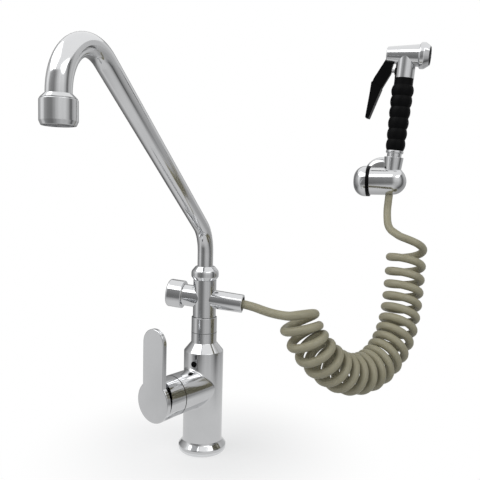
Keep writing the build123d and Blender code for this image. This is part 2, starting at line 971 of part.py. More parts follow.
# Hose outlet fittings
with BuildPart() as hose_connector:
    revolve(
        half_section(
            tee_plane,
            (barb_bore, connector_thread_end),
            (outlet_passage, connector_thread_end),
            (outlet_passage, outlet_seat),
            (outlet_bore, outlet_seat),
            (outlet_bore, outlet_seat + connector_flange),
            (barb_radius, outlet_seat + connector_flange),
            (barb_radius, barb_end),
            (barb_bore, barb_end),
        ),
        axis=line_of(tee_plane),
    )
hose_connector.part.label = "hose_connector"
export_step(hose_connector.part, "parts/hose_connector.step")

with BuildPart() as mouth_bush:
    with BuildSketch(tee_plane.offset(mouth_bush_start)):
        Circle(outlet_bore)
        Circle(hose_radius + shaft_gap, mode=Mode.SUBTRACT)
    extrude(amount=mouth_bush_end - mouth_bush_start)
mouth_bush.part.label = "mouth_bush"
export_step(mouth_bush.part, "parts/mouth_bush.step")

# Spout nut and swivel seals
with BuildPart() as spout_nut:
    revolve(
        half_section(
            column_plane,
            (tee_neck_radius, nut_bottom),
            (nut_foot_radius, nut_bottom),
            (nut_radius, nut_wide_low, nut_low_round),
            (nut_radius, nut_wide_high, nut_high_round),
            (nut_top_radius, nut_top, nut_top_round),
            (spout_radius + running_gap, nut_top),
            (spout_radius + running_gap, nut_roof),
            (tee_neck_radius, nut_roof),
        ),
        axis=Axis.Z,
    )
spout_nut.part.label = "spout_nut"
export_step(spout_nut.part, "parts/spout_nut.step")

with BuildPart() as spout_bush:
    with BuildSketch(column_plane.offset(tail_flange_top + shaft_gap)):
        Circle(tee_neck_radius)
        Circle(spout_radius + running_gap, mode=Mode.SUBTRACT)
    extrude(amount=nut_roof - tail_flange_top - shaft_gap)
spout_bush.part.label = "spout_bush"
export_step(spout_bush.part, "parts/spout_bush.step")

# Swivel spout
tail_groove_radius = tail_radius - tail_groove_depth
spout_inner = spout_radius - spout_wall

with BuildPart() as spout_tail:
    revolve(
        half_section(
            column_plane,
            (tail_bore, tail_bottom),
            (tail_radius, tail_bottom),
            (tail_radius, tail_seal_low - tail_seal_section),
            (tail_groove_radius, tail_seal_low - tail_seal_section),
            (tail_groove_radius, tail_seal_low + tail_seal_section),
            (tail_radius, tail_seal_low + tail_seal_section),
            (tail_radius, tail_seal_high - tail_seal_section),
            (tail_groove_radius, tail_seal_high - tail_seal_section),
            (tail_groove_radius, tail_seal_high + tail_seal_section),
            (tail_radius, tail_seal_high + tail_seal_section),
            (tail_radius, tail_flange_bottom),
            (tail_flange_radius, tail_flange_bottom),
            (tail_flange_radius, tail_flange_top),
            (spout_inner, tail_flange_top),
            (spout_inner, tail_insert_top - spout_wall),
            (spout_inner - spout_wall, tail_insert_top),
            (tail_bore, tail_insert_top),
        ),
        axis=Axis.Z,
    )
spout_tail.part.label = "spout_tail"
export_step(spout_tail.part, "parts/spout_tail.step")

with BuildPart() as spout_seals:
    tail_seal_centre = tail_groove_radius + tail_seal_section
    for seal_height in (tail_seal_low, tail_seal_high):
        revolve(
            ring_section(column_plane, tail_seal_centre, seal_height, tail_seal_section),
            axis=Axis.Z,
        )
spout_seals.part.label = "spout_seals"
export_step(spout_seals.part, "parts/spout_seals.step")

with BuildPart() as spout_tube:
    with BuildLine(spout_plane) as spout_path:
        FilletPolyline(
            (0, tail_flange_top),
            (0, spout_corner),
            (spout_reach, hook_corner),
            (spout_reach, spout_end),
            radius=[spout_bend, hook_bend],
        )
    with BuildSketch(column_plane.offset(tail_flange_top)):
        Circle(spout_radius)
        Circle(spout_inner, mode=Mode.SUBTRACT)
    sweep(path=spout_path.wires()[0])
spout_tube.part.label = "spout_tube"
export_step(spout_tube.part, "parts/spout_tube.step")

# Spout end with aerator
with BuildPart() as spout_tip:
    revolve(
        half_section(
            tip_plane,
            (spout_radius, tip_bottom),
            (tip_thread_radius, tip_bottom),
            (tip_thread_radius, tip_collar_bottom),
            (tip_collar_radius, tip_collar_bottom),
            (tip_collar_radius, tip_collar_top),
            (tip_neck_radius, tip_top),
            (spout_radius, tip_top),
        ),
        axis=line_of(tip_plane),
    )
spout_tip.part.label = "spout_tip"
export_step(spout_tip.part, "parts/spout_tip.step")

with BuildPart() as aerator_housing:
    revolve(
        half_section(
            tip_plane,
            (aerator_mouth, aerator_bottom),
            (aerator_bottom_radius, aerator_bottom, aerator_edge),
            (aerator_radius, aerator_taper_from),
            (aerator_radius, aerator_top, aerator_edge),
            (tip_thread_radius, aerator_top),
            (tip_thread_radius, insert_bottom),
            (aerator_mouth, insert_bottom),
        ),
        axis=line_of(tip_plane),
    )
aerator_housing.part.label = "aerator_housing"
export_step(aerator_housing.part, "parts/aerator_housing.step")

with BuildPart() as aerator_insert:
    with BuildSketch(tip_plane.offset(insert_bottom)):
        Circle(tip_thread_radius - shaft_gap)
        Circle(insert_hole_radius, mode=Mode.SUBTRACT)
        with PolarLocations(insert_ring_inner, insert_ring_count):
            Circle(insert_hole_radius, mode=Mode.SUBTRACT)
        with PolarLocations(insert_ring_outer, 2 * insert_ring_count):
            Circle(insert_hole_radius, mode=Mode.SUBTRACT)
    extrude(amount=insert_top - insert_bottom)
aerator_insert.part.label = "aerator_insert"
export_step(aerator_insert.part, "parts/aerator_insert.step")

with BuildPart() as aerator_gasket:
    with BuildSketch(tip_plane.offset(insert_top)):
        Circle(tip_thread_radius - shaft_gap)
        Circle(gasket_bore, mode=Mode.SUBTRACT)
    extrude(amount=tip_bottom - insert_top)
aerator_gasket.part.label = "aerator_gasket"
export_step(aerator_gasket.part, "parts/aerator_gasket.step")

# Route of the coil's curls round their hanging axis
coil_points = [
    coil_axis_start,
    coil_axis_drop,
    coil_axis_left,
    coil_axis_left_low,
    coil_axis_belly_left,
    coil_axis_belly,
    coil_axis_belly_right,
    coil_axis_right_low,
    coil_axis_right,
    coil_axis_rise,
    coil_axis_high,
    coil_axis_end,
]
coil_axis = Spline(coil_points, mode=Mode.PRIVATE)
curl_turns = curl_full_turns + (curl_start_angle - curl_end_angle) / 360
curl_facing = heading(curl_facing_angle)


def curl_point(share):
    """Point of the curls at a share of the axis, with an opening pitch near the top."""
    wound = (share - curl_opening * share**curl_opening_power) / (1 - curl_opening)
    angle = math.radians(curl_start_angle - 360 * curl_turns * wound)
    place = coil_axis.position_at(share * coil_axis.length, PositionMode.LENGTH)
    way = coil_axis.tangent_at(share * coil_axis.length, PositionMode.LENGTH)
    front = (curl_facing - way * curl_facing.dot(way)).normalized()
    radius = curl_start_radius + curl_growth * share
    return place + (front * math.cos(angle) + way.cross(front) * math.sin(angle)) * radius


def curl_way(share):
    """Direction of the curls at a share of the axis."""
    step = 1 / (360 * curl_turns)
    low = max(share - step, 0)
    high = min(share + step, 1)
    return (curl_point(high) - curl_point(low)).normalized()


curl_step_count = round(curl_turns * curl_steps_per_turn)
curl_shares = [step / curl_step_count for step in range(curl_step_count + 1)]
curl_places = [curl_point(share) for share in curl_shares]
curl_ways = [curl_way(share) for share in curl_shares]
coil_from = curl_places[0] - curl_ways[0] * curl_straight
coil_to = curl_places[-1] + curl_ways[-1] * curl_straight

with BuildPart() as hose_coil:
    with BuildLine() as coil_path:
        Line(coil_from, curl_places[0])
        for step in range(curl_step_count):
            first = curl_places[step]
            last = curl_places[step + 1]
            joint, joint_way = meeting_point(first, curl_ways[step], last, curl_ways[step + 1])
            TangentArc(first, joint, tangent=curl_ways[step])
            TangentArc(joint, last, tangent=joint_way)
        Line(curl_places[-1], coil_to)
    with BuildSketch(Plane(coil_from, z_dir=curl_ways[0])):
        Circle(hose_radius)
    sweep(path=coil_path.wires()[0])
hose_coil.part.label = "hose_coil"
export_step(hose_coil.part, "parts/hose_coil.step")

coil_wire = coil_path.wires()[0]
gap_samples = gap_samples_per_turn * curl_full_turns
gap_points = [
    coil_wire.position_at(coil_wire.length * index / gap_samples, PositionMode.LENGTH)
    for index in range(gap_samples + 1)
]
least_gap = min(
    (gap_points[first] - gap_points[last]).length
    for first in range(gap_samples)
    for last in range(first + gap_samples_skipped, gap_samples + 1)
)
print("coil length", round(coil_wire.length, 1), "least gap", round(least_gap - 2 * hose_radius, 2))

# Free stretch from the outlet to the coil
lead_points = [
    tee_plane.from_local_coords(Vector(0, 0, lead_start)),
    tee_plane.from_local_coords(Vector(0, 0, lead_straight)),
    coil_from - curl_ways[0] * lead_arrival,
    coil_from,
]
lead_radii = corner_radii(lead_points)

with BuildPart() as hose_lead:
    with BuildLine() as lead_path:
        FilletPolyline(lead_points, radius=lead_radii)
    with BuildSketch(tee_plane.offset(lead_start)):
        Circle(hose_radius)
    sweep(path=lead_path.wires()[0])
    with BuildSketch(tee_plane.offset(lead_start)):
        Circle(hose_bore)
    extrude(amount=hose_plug_depth, mode=Mode.SUBTRACT)
hose_lead.part.label = "hose_lead"
export_step(hose_lead.part, "parts/hose_lead.step")

# Free stretch from the coil up into the hand spray
tail_points = [
    coil_to,
    coil_to + curl_ways[-1] * tail_leave,
    tail_turn,
    socket_plane.from_local_coords(Vector(0, 0, -tail_entry_drop)),
    socket_plane.from_local_coords(Vector(0, 0, hose_entry_top)),
]
tail_radii = corner_radii(tail_points)
tail_end_plane = socket_plane.offset(hose_entry_top)

with BuildPart() as hose_tail:
    with BuildLine() as tail_path:
        FilletPolyline(tail_points, radius=tail_radii)
    with BuildSketch(Plane(coil_to, z_dir=curl_ways[-1])):
        Circle(hose_radius)
    sweep(path=tail_path.wires()[0])
    with BuildSketch(tail_end_plane):
        Circle(hose_bore)
    extrude(amount=-hose_plug_depth, mode=Mode.SUBTRACT)
hose_tail.part.label = "hose_tail"
export_step(hose_tail.part, "parts/hose_tail.step")

hose_area = math.pi * hose_radius**2
plug_volume = math.pi * hose_bore**2 * hose_plug_depth
for name, piece, path, taken in (
    ("lead", hose_lead, lead_path, plug_volume),
    ("coil", hose_coil, coil_path, 0),
    ("tail", hose_tail, tail_path, plug_volume),
):
    run = path.wires()[0].length
    swept = hose_area * run - taken
    print(name, "length", round(run, 1), "volume share", round(piece.part.volume / swept, 4))
print("lead radii", [round(radius, 1) for radius in lead_radii])
print("tail radii", [round(radius, 1) for radius in tail_radii])
print("hose ends", coil_from, curl_ways[0], coil_to, curl_ways[-1])

# Wall bracket
plate_thick = flange_recess
arm_knuckle = bracket_centre + Vector(knuckle_x, 0, arm_rise)
arm_elbow = bracket_centre + Vector(knuckle_x, arm_elbow_y, arm_elbow_z)
arm_foot = bracket_centre + Vector(flange_x, arm_foot_y, flange_z)
plate_screw_places = [(0, -plate_screw_spread / 2), (0, plate_screw_spread / 2)]

with BuildPart() as bracket_arm:
    revolve(
        half_section(
            barrel_plane,
            (0, knuckle_end),
            (knuckle_radius, knuckle_end, knuckle_round),
            (knuckle_radius, knuckle_face),
            (0, knuckle_face),
        ),
        axis=line_of(barrel_plane),
    )
    with BuildLine() as arm_path:
        FilletPolyline(arm_knuckle, arm_elbow, arm_foot, radius=[arm_bend])
    with BuildSketch(Plane(arm_knuckle, z_dir=arm_elbow - arm_knuckle)):
        Circle(arm_radius)
    sweep(path=arm_path.wires()[0])
    revolve(
        half_section(
            wall_plane,
            (0, 0),
            (flange_radius, 0),
            (flange_radius, flange_depth, flange_round),
            (0, flange_depth),
        ),
        axis=line_of(wall_plane),
    )
    with BuildSketch(wall_plane):
        Circle(flange_recess_radius)
    extrude(amount=flange_recess, mode=Mode.SUBTRACT)
    with BuildSketch(barrel_plane.offset(bolt_start)):
        Circle(bolt_radius)
    extrude(amount=knuckle_face - bolt_start, mode=Mode.SUBTRACT)
bracket_arm.part.label = "bracket_arm"
export_step(bracket_arm.part, "parts/bracket_arm.step")

with BuildPart() as wall_plate:
    with BuildSketch(wall_plane):
        Circle(flange_recess_radius)
    extrude(amount=plate_thick)
    with Locations(wall_plane.offset(plate_thick)):
        with Locations(*plate_screw_places):
            CounterBoreHole(plate_screw_radius, plate_screw_head, plate_screw_head_depth)
wall_plate.part.label = "wall_plate"
export_step(wall_plate.part, "parts/wall_plate.step")

with BuildPart() as wall_screws:
    with BuildSketch(wall_plane):
        with Locations(*plate_screw_places):
            Circle(plate_screw_radius)
    extrude(amount=plate_thick)
    with BuildSketch(wall_plane.offset(plate_thick - plate_screw_head_depth)):
        with Locations(*plate_screw_places):
            Circle(plate_screw_head)
    extrude(amount=plate_screw_head_depth)
wall_screws.part.label = "wall_screws"
export_step(wall_screws.part, "parts/wall_screws.step")

with BuildPart() as friction_ring:
    with BuildSketch(barrel_plane.offset(knuckle_face)):
        Circle(knuckle_radius)
        Circle(ring_bore, mode=Mode.SUBTRACT)
    extrude(amount=ring_face - knuckle_face)
    fillet(friction_ring.edges().filter_by(GeomType.CIRCLE).sort_by(SortBy.RADIUS)[-2:], collar_edge)
friction_ring.part.label = "friction_ring"
export_step(friction_ring.part, "parts/friction_ring.step")

with BuildPart() as pivot_bolt:
    with BuildSketch(barrel_plane.offset(bolt_start)):
        Circle(bolt_radius)
    extrude(amount=bolt_head_start - bolt_start)
    with BuildSketch(barrel_plane.offset(bolt_head_start)):
        Circle(bolt_head_radius)
    extrude(amount=bolt_head_end - bolt_head_start)
pivot_bolt.part.label = "pivot_bolt"
export_step(pivot_bolt.part, "parts/pivot_bolt.step")

with BuildPart() as spring_washer:
    with BuildSketch(barrel_plane.offset(bolt_head_start - washer_thickness)):
        Circle(bolt_head_radius)
        Circle(bolt_radius, mode=Mode.SUBTRACT)
    extrude(amount=washer_thickness)
spring_washer.part.label = "spring_washer"
export_step(spring_washer.part, "parts/spring_washer.step")

# Turning holder with conical socket
holder_side = Plane(socket_plane.origin + Vector(0, slot_shift, 0), x_dir=face_way, z_dir=(0, -1, 0))
slot_points = [(0, holder_bottom), (holder_end, holder_bottom), (holder_end, slot_top), (0, slot_top)]

with BuildPart() as holder_barrel:
    revolve(
        half_section(
            barrel_plane,
            (0, holder_left),
            (holder_radius, holder_left, collar_edge),
            (holder_radius, holder_end, holder_end - holder_dome_start - collar_edge),
            (0, holder_end),
        ),
        axis=line_of(barrel_plane),
    )
    revolve(
        half_section(
            socket_plane,
            (0, collar_foot),
            (collar_foot_radius, collar_foot),
            (collar_head_radius, collar_head, collar_lip),
            (0, collar_head),
        ),
        axis=line_of(socket_plane),
    )
    revolve(
        half_section(
            socket_plane,
            (0, holder_bottom),
            (holder_bore, holder_bottom),
            (holder_bore, socket_floor),
            (socket_floor_radius, socket_floor),
            (socket_mouth_radius, collar_head),
            (0, collar_head),
        ),
        axis=line_of(socket_plane),
        mode=Mode.SUBTRACT,
    )
    with BuildSketch(holder_side):
        with BuildLine():
            Polyline(slot_points, close=True)
        make_face()
    extrude(amount=slot_half, both=True, mode=Mode.SUBTRACT)
    with BuildSketch(barrel_plane.offset(holder_left)):
        Circle(bolt_radius + shaft_gap)
    extrude(amount=bolt_chamber_start - holder_left, mode=Mode.SUBTRACT)
    with BuildSketch(barrel_plane.offset(bolt_chamber_start)):
        Circle(bolt_chamber_radius)
    extrude(amount=bolt_chamber_end - bolt_chamber_start, mode=Mode.SUBTRACT)
holder_barrel.part.label = "holder_barrel"
export_step(holder_barrel.part, "parts/holder_barrel.step")

with BuildPart() as socket_liner:
    revolve(
        half_section(
            socket_plane,
            (holder_bore - liner_wall, liner_bottom),
            (holder_bore, liner_bottom),
            (holder_bore, socket_floor),
            (socket_floor_radius, socket_floor),
            (socket_mouth_radius, collar_head),
            (socket_mouth_radius - liner_wall, collar_head),
            (socket_floor_radius - liner_wall, socket_floor + liner_wall),
            (holder_bore - liner_wall, socket_floor + liner_wall),
        ),
        axis=line_of(socket_plane),
    )
    with BuildSketch(holder_side):
        with BuildLine():
            Polyline(slot_points, close=True)
        make_face()
    extrude(amount=slot_half, both=True, mode=Mode.SUBTRACT)
socket_liner.part.label = "socket_liner"
export_step(socket_liner.part, "parts/socket_liner.step")

# Hose end and ferrule of the hand spray
with BuildPart() as hose_nut:
    revolve(
        half_section(
            socket_plane,
            (hose_radius + shaft_gap, nut_cone_bottom),
            (nut_cone_bottom_radius, nut_cone_bottom),
            (nut_collar_radius, nut_cone_top),
            (nut_collar_radius, nut_collar_top),
            (nut_thread_radius, nut_collar_top),
            (nut_thread_radius, hose_entry_top + shaft_gap),
            (hose_radius + shaft_gap, hose_entry_top + shaft_gap),
        ),
        axis=line_of(socket_plane),
    )
hose_nut.part.label = "hose_nut"
export_step(hose_nut.part, "parts/hose_nut.step")

with BuildPart() as hose_nipple:
    revolve(
        half_section(
            socket_plane,
            (barb_bore, nipple_bottom),
            (barb_radius, nipple_bottom),
            (barb_radius, hose_entry_top + shaft_gap),
            (nipple_radius, hose_entry_top + shaft_gap),
            (nipple_radius, nipple_flange_top),
            (barb_bore, nipple_flange_top),
        ),
        axis=line_of(socket_plane),
    )
hose_nipple.part.label = "hose_nipple"
export_step(hose_nipple.part, "parts/hose_nipple.step")

with BuildPart() as hose_washer:
    with BuildSketch(socket_plane.offset(nipple_flange_top)):
        Circle(nipple_radius)
        Circle(handle_bore, mode=Mode.SUBTRACT)
    extrude(amount=ferrule_thread_bottom - nipple_flange_top)
hose_washer.part.label = "hose_washer"
export_step(hose_washer.part, "parts/hose_washer.step")

with BuildPart() as handle_ferrule:
    revolve(
        half_section(
            socket_plane,
            (handle_bore, ferrule_thread_bottom),
            (nut_thread_radius, ferrule_thread_bottom),
            (nut_thread_radius, nut_collar_top),
            (ferrule_radius, nut_collar_top, ferrule_round),
            (ferrule_radius, ferrule_top, ferrule_round),
            (handle_bore, ferrule_top),
        ),
        axis=line_of(socket_plane),
    )
handle_ferrule.part.label = "handle_ferrule"
export_step(handle_ferrule.part, "parts/handle_ferrule.step")

with BuildPart() as handle_tube:
    with BuildSketch(socket_plane.offset(ferrule_top)):
        Circle(tube_radius)
        Circle(tube_bore, mode=Mode.SUBTRACT)
    extrude(amount=grip_top - ferrule_top)
handle_tube.part.label = "handle_tube"
export_step(handle_tube.part, "parts/handle_tube.step")

# Ribbed grip sleeve
grip_growth = (grip_high_radius - grip_low_radius) / (grip_ribs - 1)
ribs_top = ferrule_top + grip_ribs * grip_rib_pitch

with BuildPart() as grip_sleeve:
    with BuildSketch(spray_side):
        with BuildLine():
            for rib in range(grip_ribs):
                rib_foot = ferrule_top + rib * grip_rib_pitch
                rib_radius = grip_low_radius + rib * grip_growth
                foot_radius = rib_radius - grip_valley
                head_radius = rib_radius - grip_valley + grip_growth
                if rib == grip_ribs - 1:
                    head_radius = grip_cuff_radius
                ThreePointArc(
                    (foot_radius, rib_foot),
                    (rib_radius, rib_foot + grip_rib_pitch / 2),
                    (head_radius, rib_foot + grip_rib_pitch),
                )
            Polyline(
                (grip_cuff_radius, ribs_top),
                (grip_cuff_radius, grip_top),
                (tube_radius, grip_top),
                (tube_radius, ferrule_top),
                (grip_low_radius - grip_valley, ferrule_top),
            )
        make_face()
    revolve(axis=line_of(socket_plane))
grip_sleeve.part.label = "grip_sleeve"
export_step(grip_sleeve.part, "parts/grip_sleeve.step")

# Spray head
tongue_slot_half = trigger_tongue_half + slot_tongue_gap
slot_depth_front = trigger_pivot_x + head_edge + slot_tongue_gap + trigger_pin_radius * 2

with BuildPart() as spray_body:
    revolve(
        half_section(
            head_plane,
            (0, head_back),
            (head_back_radius, head_back, head_edge),
            (head_front_radius, head_front),
            (0, head_front),
        ),
        axis=line_of(head_plane),
    )
    with BuildSketch(socket_plane.offset(grip_top)):
        Circle(spray_neck_radius)
    extrude(amount=head_height - grip_top)
    with BuildSketch(head_plane.offset(head_bore_back)):
        Circle(head_bore)
    extrude(amount=head_front - head_bore_back, mode=Mode.SUBTRACT)
    with BuildSketch(valve_plane.offset(valve_chamber_end)):
        Circle(valve_chamber_radius)
    extrude(amount=-valve_chamber_end - head_front_radius, mode=Mode.SUBTRACT)
    with BuildSketch(socket_plane.offset(grip_top)):
        Circle(tube_bore)
    extrude(amount=valve_height - grip_top, mode=Mode.SUBTRACT)
    with BuildSketch(socket_plane.offset(valve_height)):
        with Locations((valve_chamber_end, 0)):
            Circle(port_radius)
    extrude(amount=head_height - valve_height, mode=Mode.SUBTRACT)
    with BuildSketch(spray_side):
        with BuildLine():
            Polyline(
                (head_back - head_edge, trigger_pivot_h + slot_head_room),
                (slot_depth_front, trigger_pivot_h + slot_head_room),
                (slot_depth_front, trigger_pivot_h - head_back_radius),
                (head_back - head_edge, trigger_pivot_h - head_back_radius),
                close=True,
            )
        make_face()
    extrude(amount=tongue_slot_half, both=True, mode=Mode.SUBTRACT)
    with BuildSketch(spray_side):
        with Locations((trigger_pivot_x, trigger_pivot_h)):
            Circle(trigger_pin_radius)
    extrude(amount=trigger_pin_half, both=True, mode=Mode.SUBTRACT)
spray_body.part.label = "spray_body"
export_step(spray_body.part, "parts/spray_body.step")

with BuildPart() as spray_gasket:
    with BuildSketch(head_plane.offset(head_front)):
        Circle(head_bore + shaft_gap)
        Circle(spray_gasket_bore, mode=Mode.SUBTRACT)
    extrude(amount=spray_gasket_depth)
spray_gasket.part.label = "spray_gasket"
export_step(spray_gasket.part, "parts/spray_gasket.step")

with BuildPart() as spray_bezel:
    revolve(
        half_section(
            head_plane,
            (head_bore + shaft_gap, head_front),
            (head_front_radius, head_front),
            (bezel_radius, head_front + head_edge, head_edge),
            (bezel_radius, bezel_wide, bezel_round),
            (bezel_front_radius, bezel_front, face_round),
            (face_radius, bezel_front),
            (face_radius, face_back),
            (head_bore + shaft_gap, face_back),
        ),
        axis=line_of(head_plane),
    )
spray_bezel.part.label = "spray_bezel"
export_step(spray_bezel.part, "parts/spray_bezel.step")

with BuildPart() as spray_face:
    with BuildSketch(head_plane.offset(face_back)):
        Circle(face_radius)
        with PolarLocations(jet_ring_inner, jet_count_inner):
            Circle(jet_radius, mode=Mode.SUBTRACT)
        with PolarLocations(jet_ring_outer - running_gap - jet_radius, jet_count_outer):
            Circle(jet_radius, mode=Mode.SUBTRACT)
    extrude(amount=face_front - face_back)
spray_face.part.label = "spray_face"
export_step(spray_face.part, "parts/spray_face.step")

# Trigger, valve pin and spring
trigger_nose = valve_stem_end - sliding_gap

with BuildPart() as trigger:
    with BuildSketch(spray_side):
        with BuildLine():
            FilletPolyline(
                (trigger_pivot_x - trigger_eye, trigger_pivot_h + trigger_eye),
                trigger_shoulder,
                trigger_mid_outer,
                trigger_tip_outer,
                trigger_tip_inner,
                trigger_mid_inner,
                (trigger_nose, valve_height - valve_stem_radius - trigger_edge),
                (trigger_nose, valve_height + valve_stem_radius),
                (trigger_pivot_x + trigger_eye, trigger_pivot_h - trigger_eye),
                (trigger_pivot_x + trigger_eye, trigger_pivot_h + trigger_eye),
                radius=[
                    trigger_edge,
                    trigger_bend,
                    trigger_bend,
                    trigger_edge,
                    trigger_edge,
                    trigger_bend,
                    trigger_edge,
                    trigger_edge,
                    trigger_edge,
                    trigger_eye,
                ],
                close=True,
            )
        make_face()
    extrude(amount=trigger_tongue_half, both=True)
    with BuildSketch(spray_side):
        with BuildLine():
            FilletPolyline(
                trigger_shoulder,
                trigger_mid_outer,
                trigger_tip_outer,
                trigger_tip_inner,
                trigger_mid_inner,
                radius=[trigger_edge, trigger_bend, trigger_edge, trigger_edge, trigger_edge],
                close=True,
            )
        make_face()
    extrude(amount=trigger_half, both=True)
    with BuildSketch(spray_side):
        with Locations((trigger_pivot_x, trigger_pivot_h)):
            Circle(trigger_pin_radius + shaft_gap)
    extrude(amount=trigger_pin_half, both=True, mode=Mode.SUBTRACT)
trigger.part.label = "trigger"
export_step(trigger.part, "parts/trigger.step")

with BuildPart() as trigger_pin:
    with BuildSketch(spray_side):
        with Locations((trigger_pivot_x, trigger_pivot_h)):
            Circle(trigger_pin_radius)
    extrude(amount=trigger_pin_half, both=True)
trigger_pin.part.label = "trigger_pin"
export_step(trigger_pin.part, "parts/trigger_pin.step")

with BuildPart() as valve_guide:
    with BuildSketch(valve_plane.offset(valve_guide_back)):
        Circle(valve_guide_radius)
        Circle(valve_stem_radius + shaft_gap, mode=Mode.SUBTRACT)
    extrude(amount=valve_guide_front - valve_guide_back)
valve_guide.part.label = "valve_guide"
export_step(valve_guide.part, "parts/valve_guide.step")

with BuildPart() as valve_stem:
    revolve(
        half_section(
            valve_plane,
            (0, valve_stem_end),
            (valve_stem_radius, valve_stem_end, spring_wire),
            (valve_stem_radius, valve_head_back),
            (valve_head_radius, valve_head_back),
            (valve_head_radius, valve_head_front),
            (0, valve_head_front),
        ),
        axis=line_of(valve_plane),
    )
valve_stem.part.label = "valve_stem"
export_step(valve_stem.part, "parts/valve_stem.step")

spring_run = valve_chamber_end - valve_head_front - 2 * (spring_wire + spring_clear)
spring_from = valve_head_front + spring_wire + spring_clear


def spring_point(quarter):
    """Point of the valve spring after a number of quarter turns."""
    angle = math.radians(90 * quarter)
    height = spring_from + spring_run * quarter / (4 * spring_turns)
    return valve_plane.from_local_coords(
        Vector(spring_radius * math.cos(angle), spring_radius * math.sin(angle), height)
    )


def spring_way(quarter):
    """Direction of the valve spring after a number of quarter turns."""
    angle = math.radians(90 * quarter)
    climb = spring_run / (2 * math.pi * spring_turns)
    ahead = Vector(-spring_radius * math.sin(angle), spring_radius * math.cos(angle), climb)
    return (valve_plane.from_local_coords(ahead) - valve_plane.origin).normalized()


with BuildPart() as valve_spring:
    with BuildLine() as spring_path:
        for quarter in range(4 * spring_turns):
            first = spring_point(quarter)
            last = spring_point(quarter + 1)
            joint, joint_way = meeting_point(first, spring_way(quarter), last, spring_way(quarter + 1))
            TangentArc(first, joint, tangent=spring_way(quarter))
            TangentArc(joint, last, tangent=joint_way)
    with BuildSketch(Plane(spring_point(0), z_dir=spring_way(0))):
        Circle(spring_wire)
    sweep(path=spring_path.wires()[0])
valve_spring.part.label = "valve_spring"
export_step(valve_spring.part, "parts/valve_spring.step")
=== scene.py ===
import json
import math

import bmesh
import bpy
from mathutils import Matrix, Vector


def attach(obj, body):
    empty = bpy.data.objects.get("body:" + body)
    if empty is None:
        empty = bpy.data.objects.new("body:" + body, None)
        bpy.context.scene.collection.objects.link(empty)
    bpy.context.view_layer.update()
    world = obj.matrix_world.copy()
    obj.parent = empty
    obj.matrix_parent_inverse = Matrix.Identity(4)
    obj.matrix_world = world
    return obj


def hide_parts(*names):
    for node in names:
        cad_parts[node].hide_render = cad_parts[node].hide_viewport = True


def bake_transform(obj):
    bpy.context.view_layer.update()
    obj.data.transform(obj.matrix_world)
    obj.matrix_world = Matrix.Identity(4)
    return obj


bl_info = {
    "name": "Commercial Faucet Looks",
    "version": (1, 0, 0),
    "blender": (4, 5, 0),
    "location": "View3D > Sidebar > Faucet",
    "description": "Dresses a mixer faucet with its coiled hose, finishes and studio",
    "category": "Object",
}

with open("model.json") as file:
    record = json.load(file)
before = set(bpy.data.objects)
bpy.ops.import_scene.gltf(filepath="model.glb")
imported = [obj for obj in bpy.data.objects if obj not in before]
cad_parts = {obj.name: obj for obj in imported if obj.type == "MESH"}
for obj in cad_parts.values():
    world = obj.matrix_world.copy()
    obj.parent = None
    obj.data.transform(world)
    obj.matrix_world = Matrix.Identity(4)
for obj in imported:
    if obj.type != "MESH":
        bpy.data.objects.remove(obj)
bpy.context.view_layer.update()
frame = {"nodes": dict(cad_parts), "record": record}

# Route of the hose, as the solids have it
OUTLET_AXIS = Vector((0.98314, 0.15571, -0.09585))
OUTLET_CENTRE = Vector((0.0, 0.0, 0.1818))
COIL_FROM = Vector((0.09618, -0.01053, 0.1738))
COIL_FROM_WAY = Vector((0.96282, -0.25396, 0.09207))
COIL_TO = Vector((0.19444, 0.15493, 0.25968))
COIL_TO_WAY = Vector((-0.77382, 0.51871, 0.36351))
COIL_AXIS = [
    (0.1110, 0.0050, 0.1720),
    (0.1170, 0.0030, 0.1550),
    (0.1275, 0.0055, 0.1370),
    (0.1410, 0.0170, 0.1180),
    (0.1560, 0.0360, 0.1020),
    (0.1720, 0.0590, 0.0960),
    (0.1870, 0.0840, 0.1000),
    (0.2000, 0.1070, 0.1170),
    (0.2070, 0.1250, 0.1390),
    (0.2100, 0.1400, 0.1680),
    (0.2110, 0.1530, 0.2050),
    (0.2110, 0.1670, 0.2500),
]
TAIL_TURN = Vector((0.1825, 0.1765, 0.2840))

# Along the outlet: where the hose begins, and where it leaves the connector
HOSE_START = 0.030
HOSE_MOUTH = 0.052

# Straight lengths of hose before the first curl and after the last
COIL_LEAD = 0.014
COIL_TRAIL = 0.010

# Side that a curl's angle is counted from, and how sharply the last curls open
CURL_FACING = math.radians(-69.0)
OPENING_POWER = 15
WALK_STEP = 0.012

# The holder's socket and the way that the hand spray leans and faces
SOCKET_ORIGIN = Vector((0.1858, 0.1775, 0.3250))
LEAN = math.radians(4.9)
LEAN_WAY = Vector((math.sin(LEAN), 0.0, math.cos(LEAN)))
FACE_WAY = Vector((math.cos(LEAN), 0.0, -math.sin(LEAN)))

# Below the socket: the holder's foot and the hose's straight end
HOLDER_FOOT = 0.0125
RISE_END = 0.024

# Above the socket: the hose's end, the valve and the spray face
ENTRY_END = 0.0199
VALVE_HEIGHT = 0.142
FACE_HEIGHT = 0.1626
FACE_REACH = 0.029

# The valve's spring, from its seat to the head of the pin
SPRING_SEAT = 0.0065
SPRING_HEAD = 0.002
SPRING_CLEAR = 0.00015
SPRING_STEPS = 16

# Rings of jets in the spray face, and the screen in the aerator
INNER_RING = 0.0045
INNER_JETS = 6
OUTER_RING = 0.0078
OUTER_JETS = 12
SPOUT_MOUTH = Vector((0.02425, -0.29500, 0.34715))
SCREEN_EDGE = 0.95

# The cross in the knob's screw, laid as a thin dark sheet of painted shade in its recess
SCREW_FACE = 0.04304
CROSS_DEPTH = 0.00012
CROSS_SLIMNESS = 5
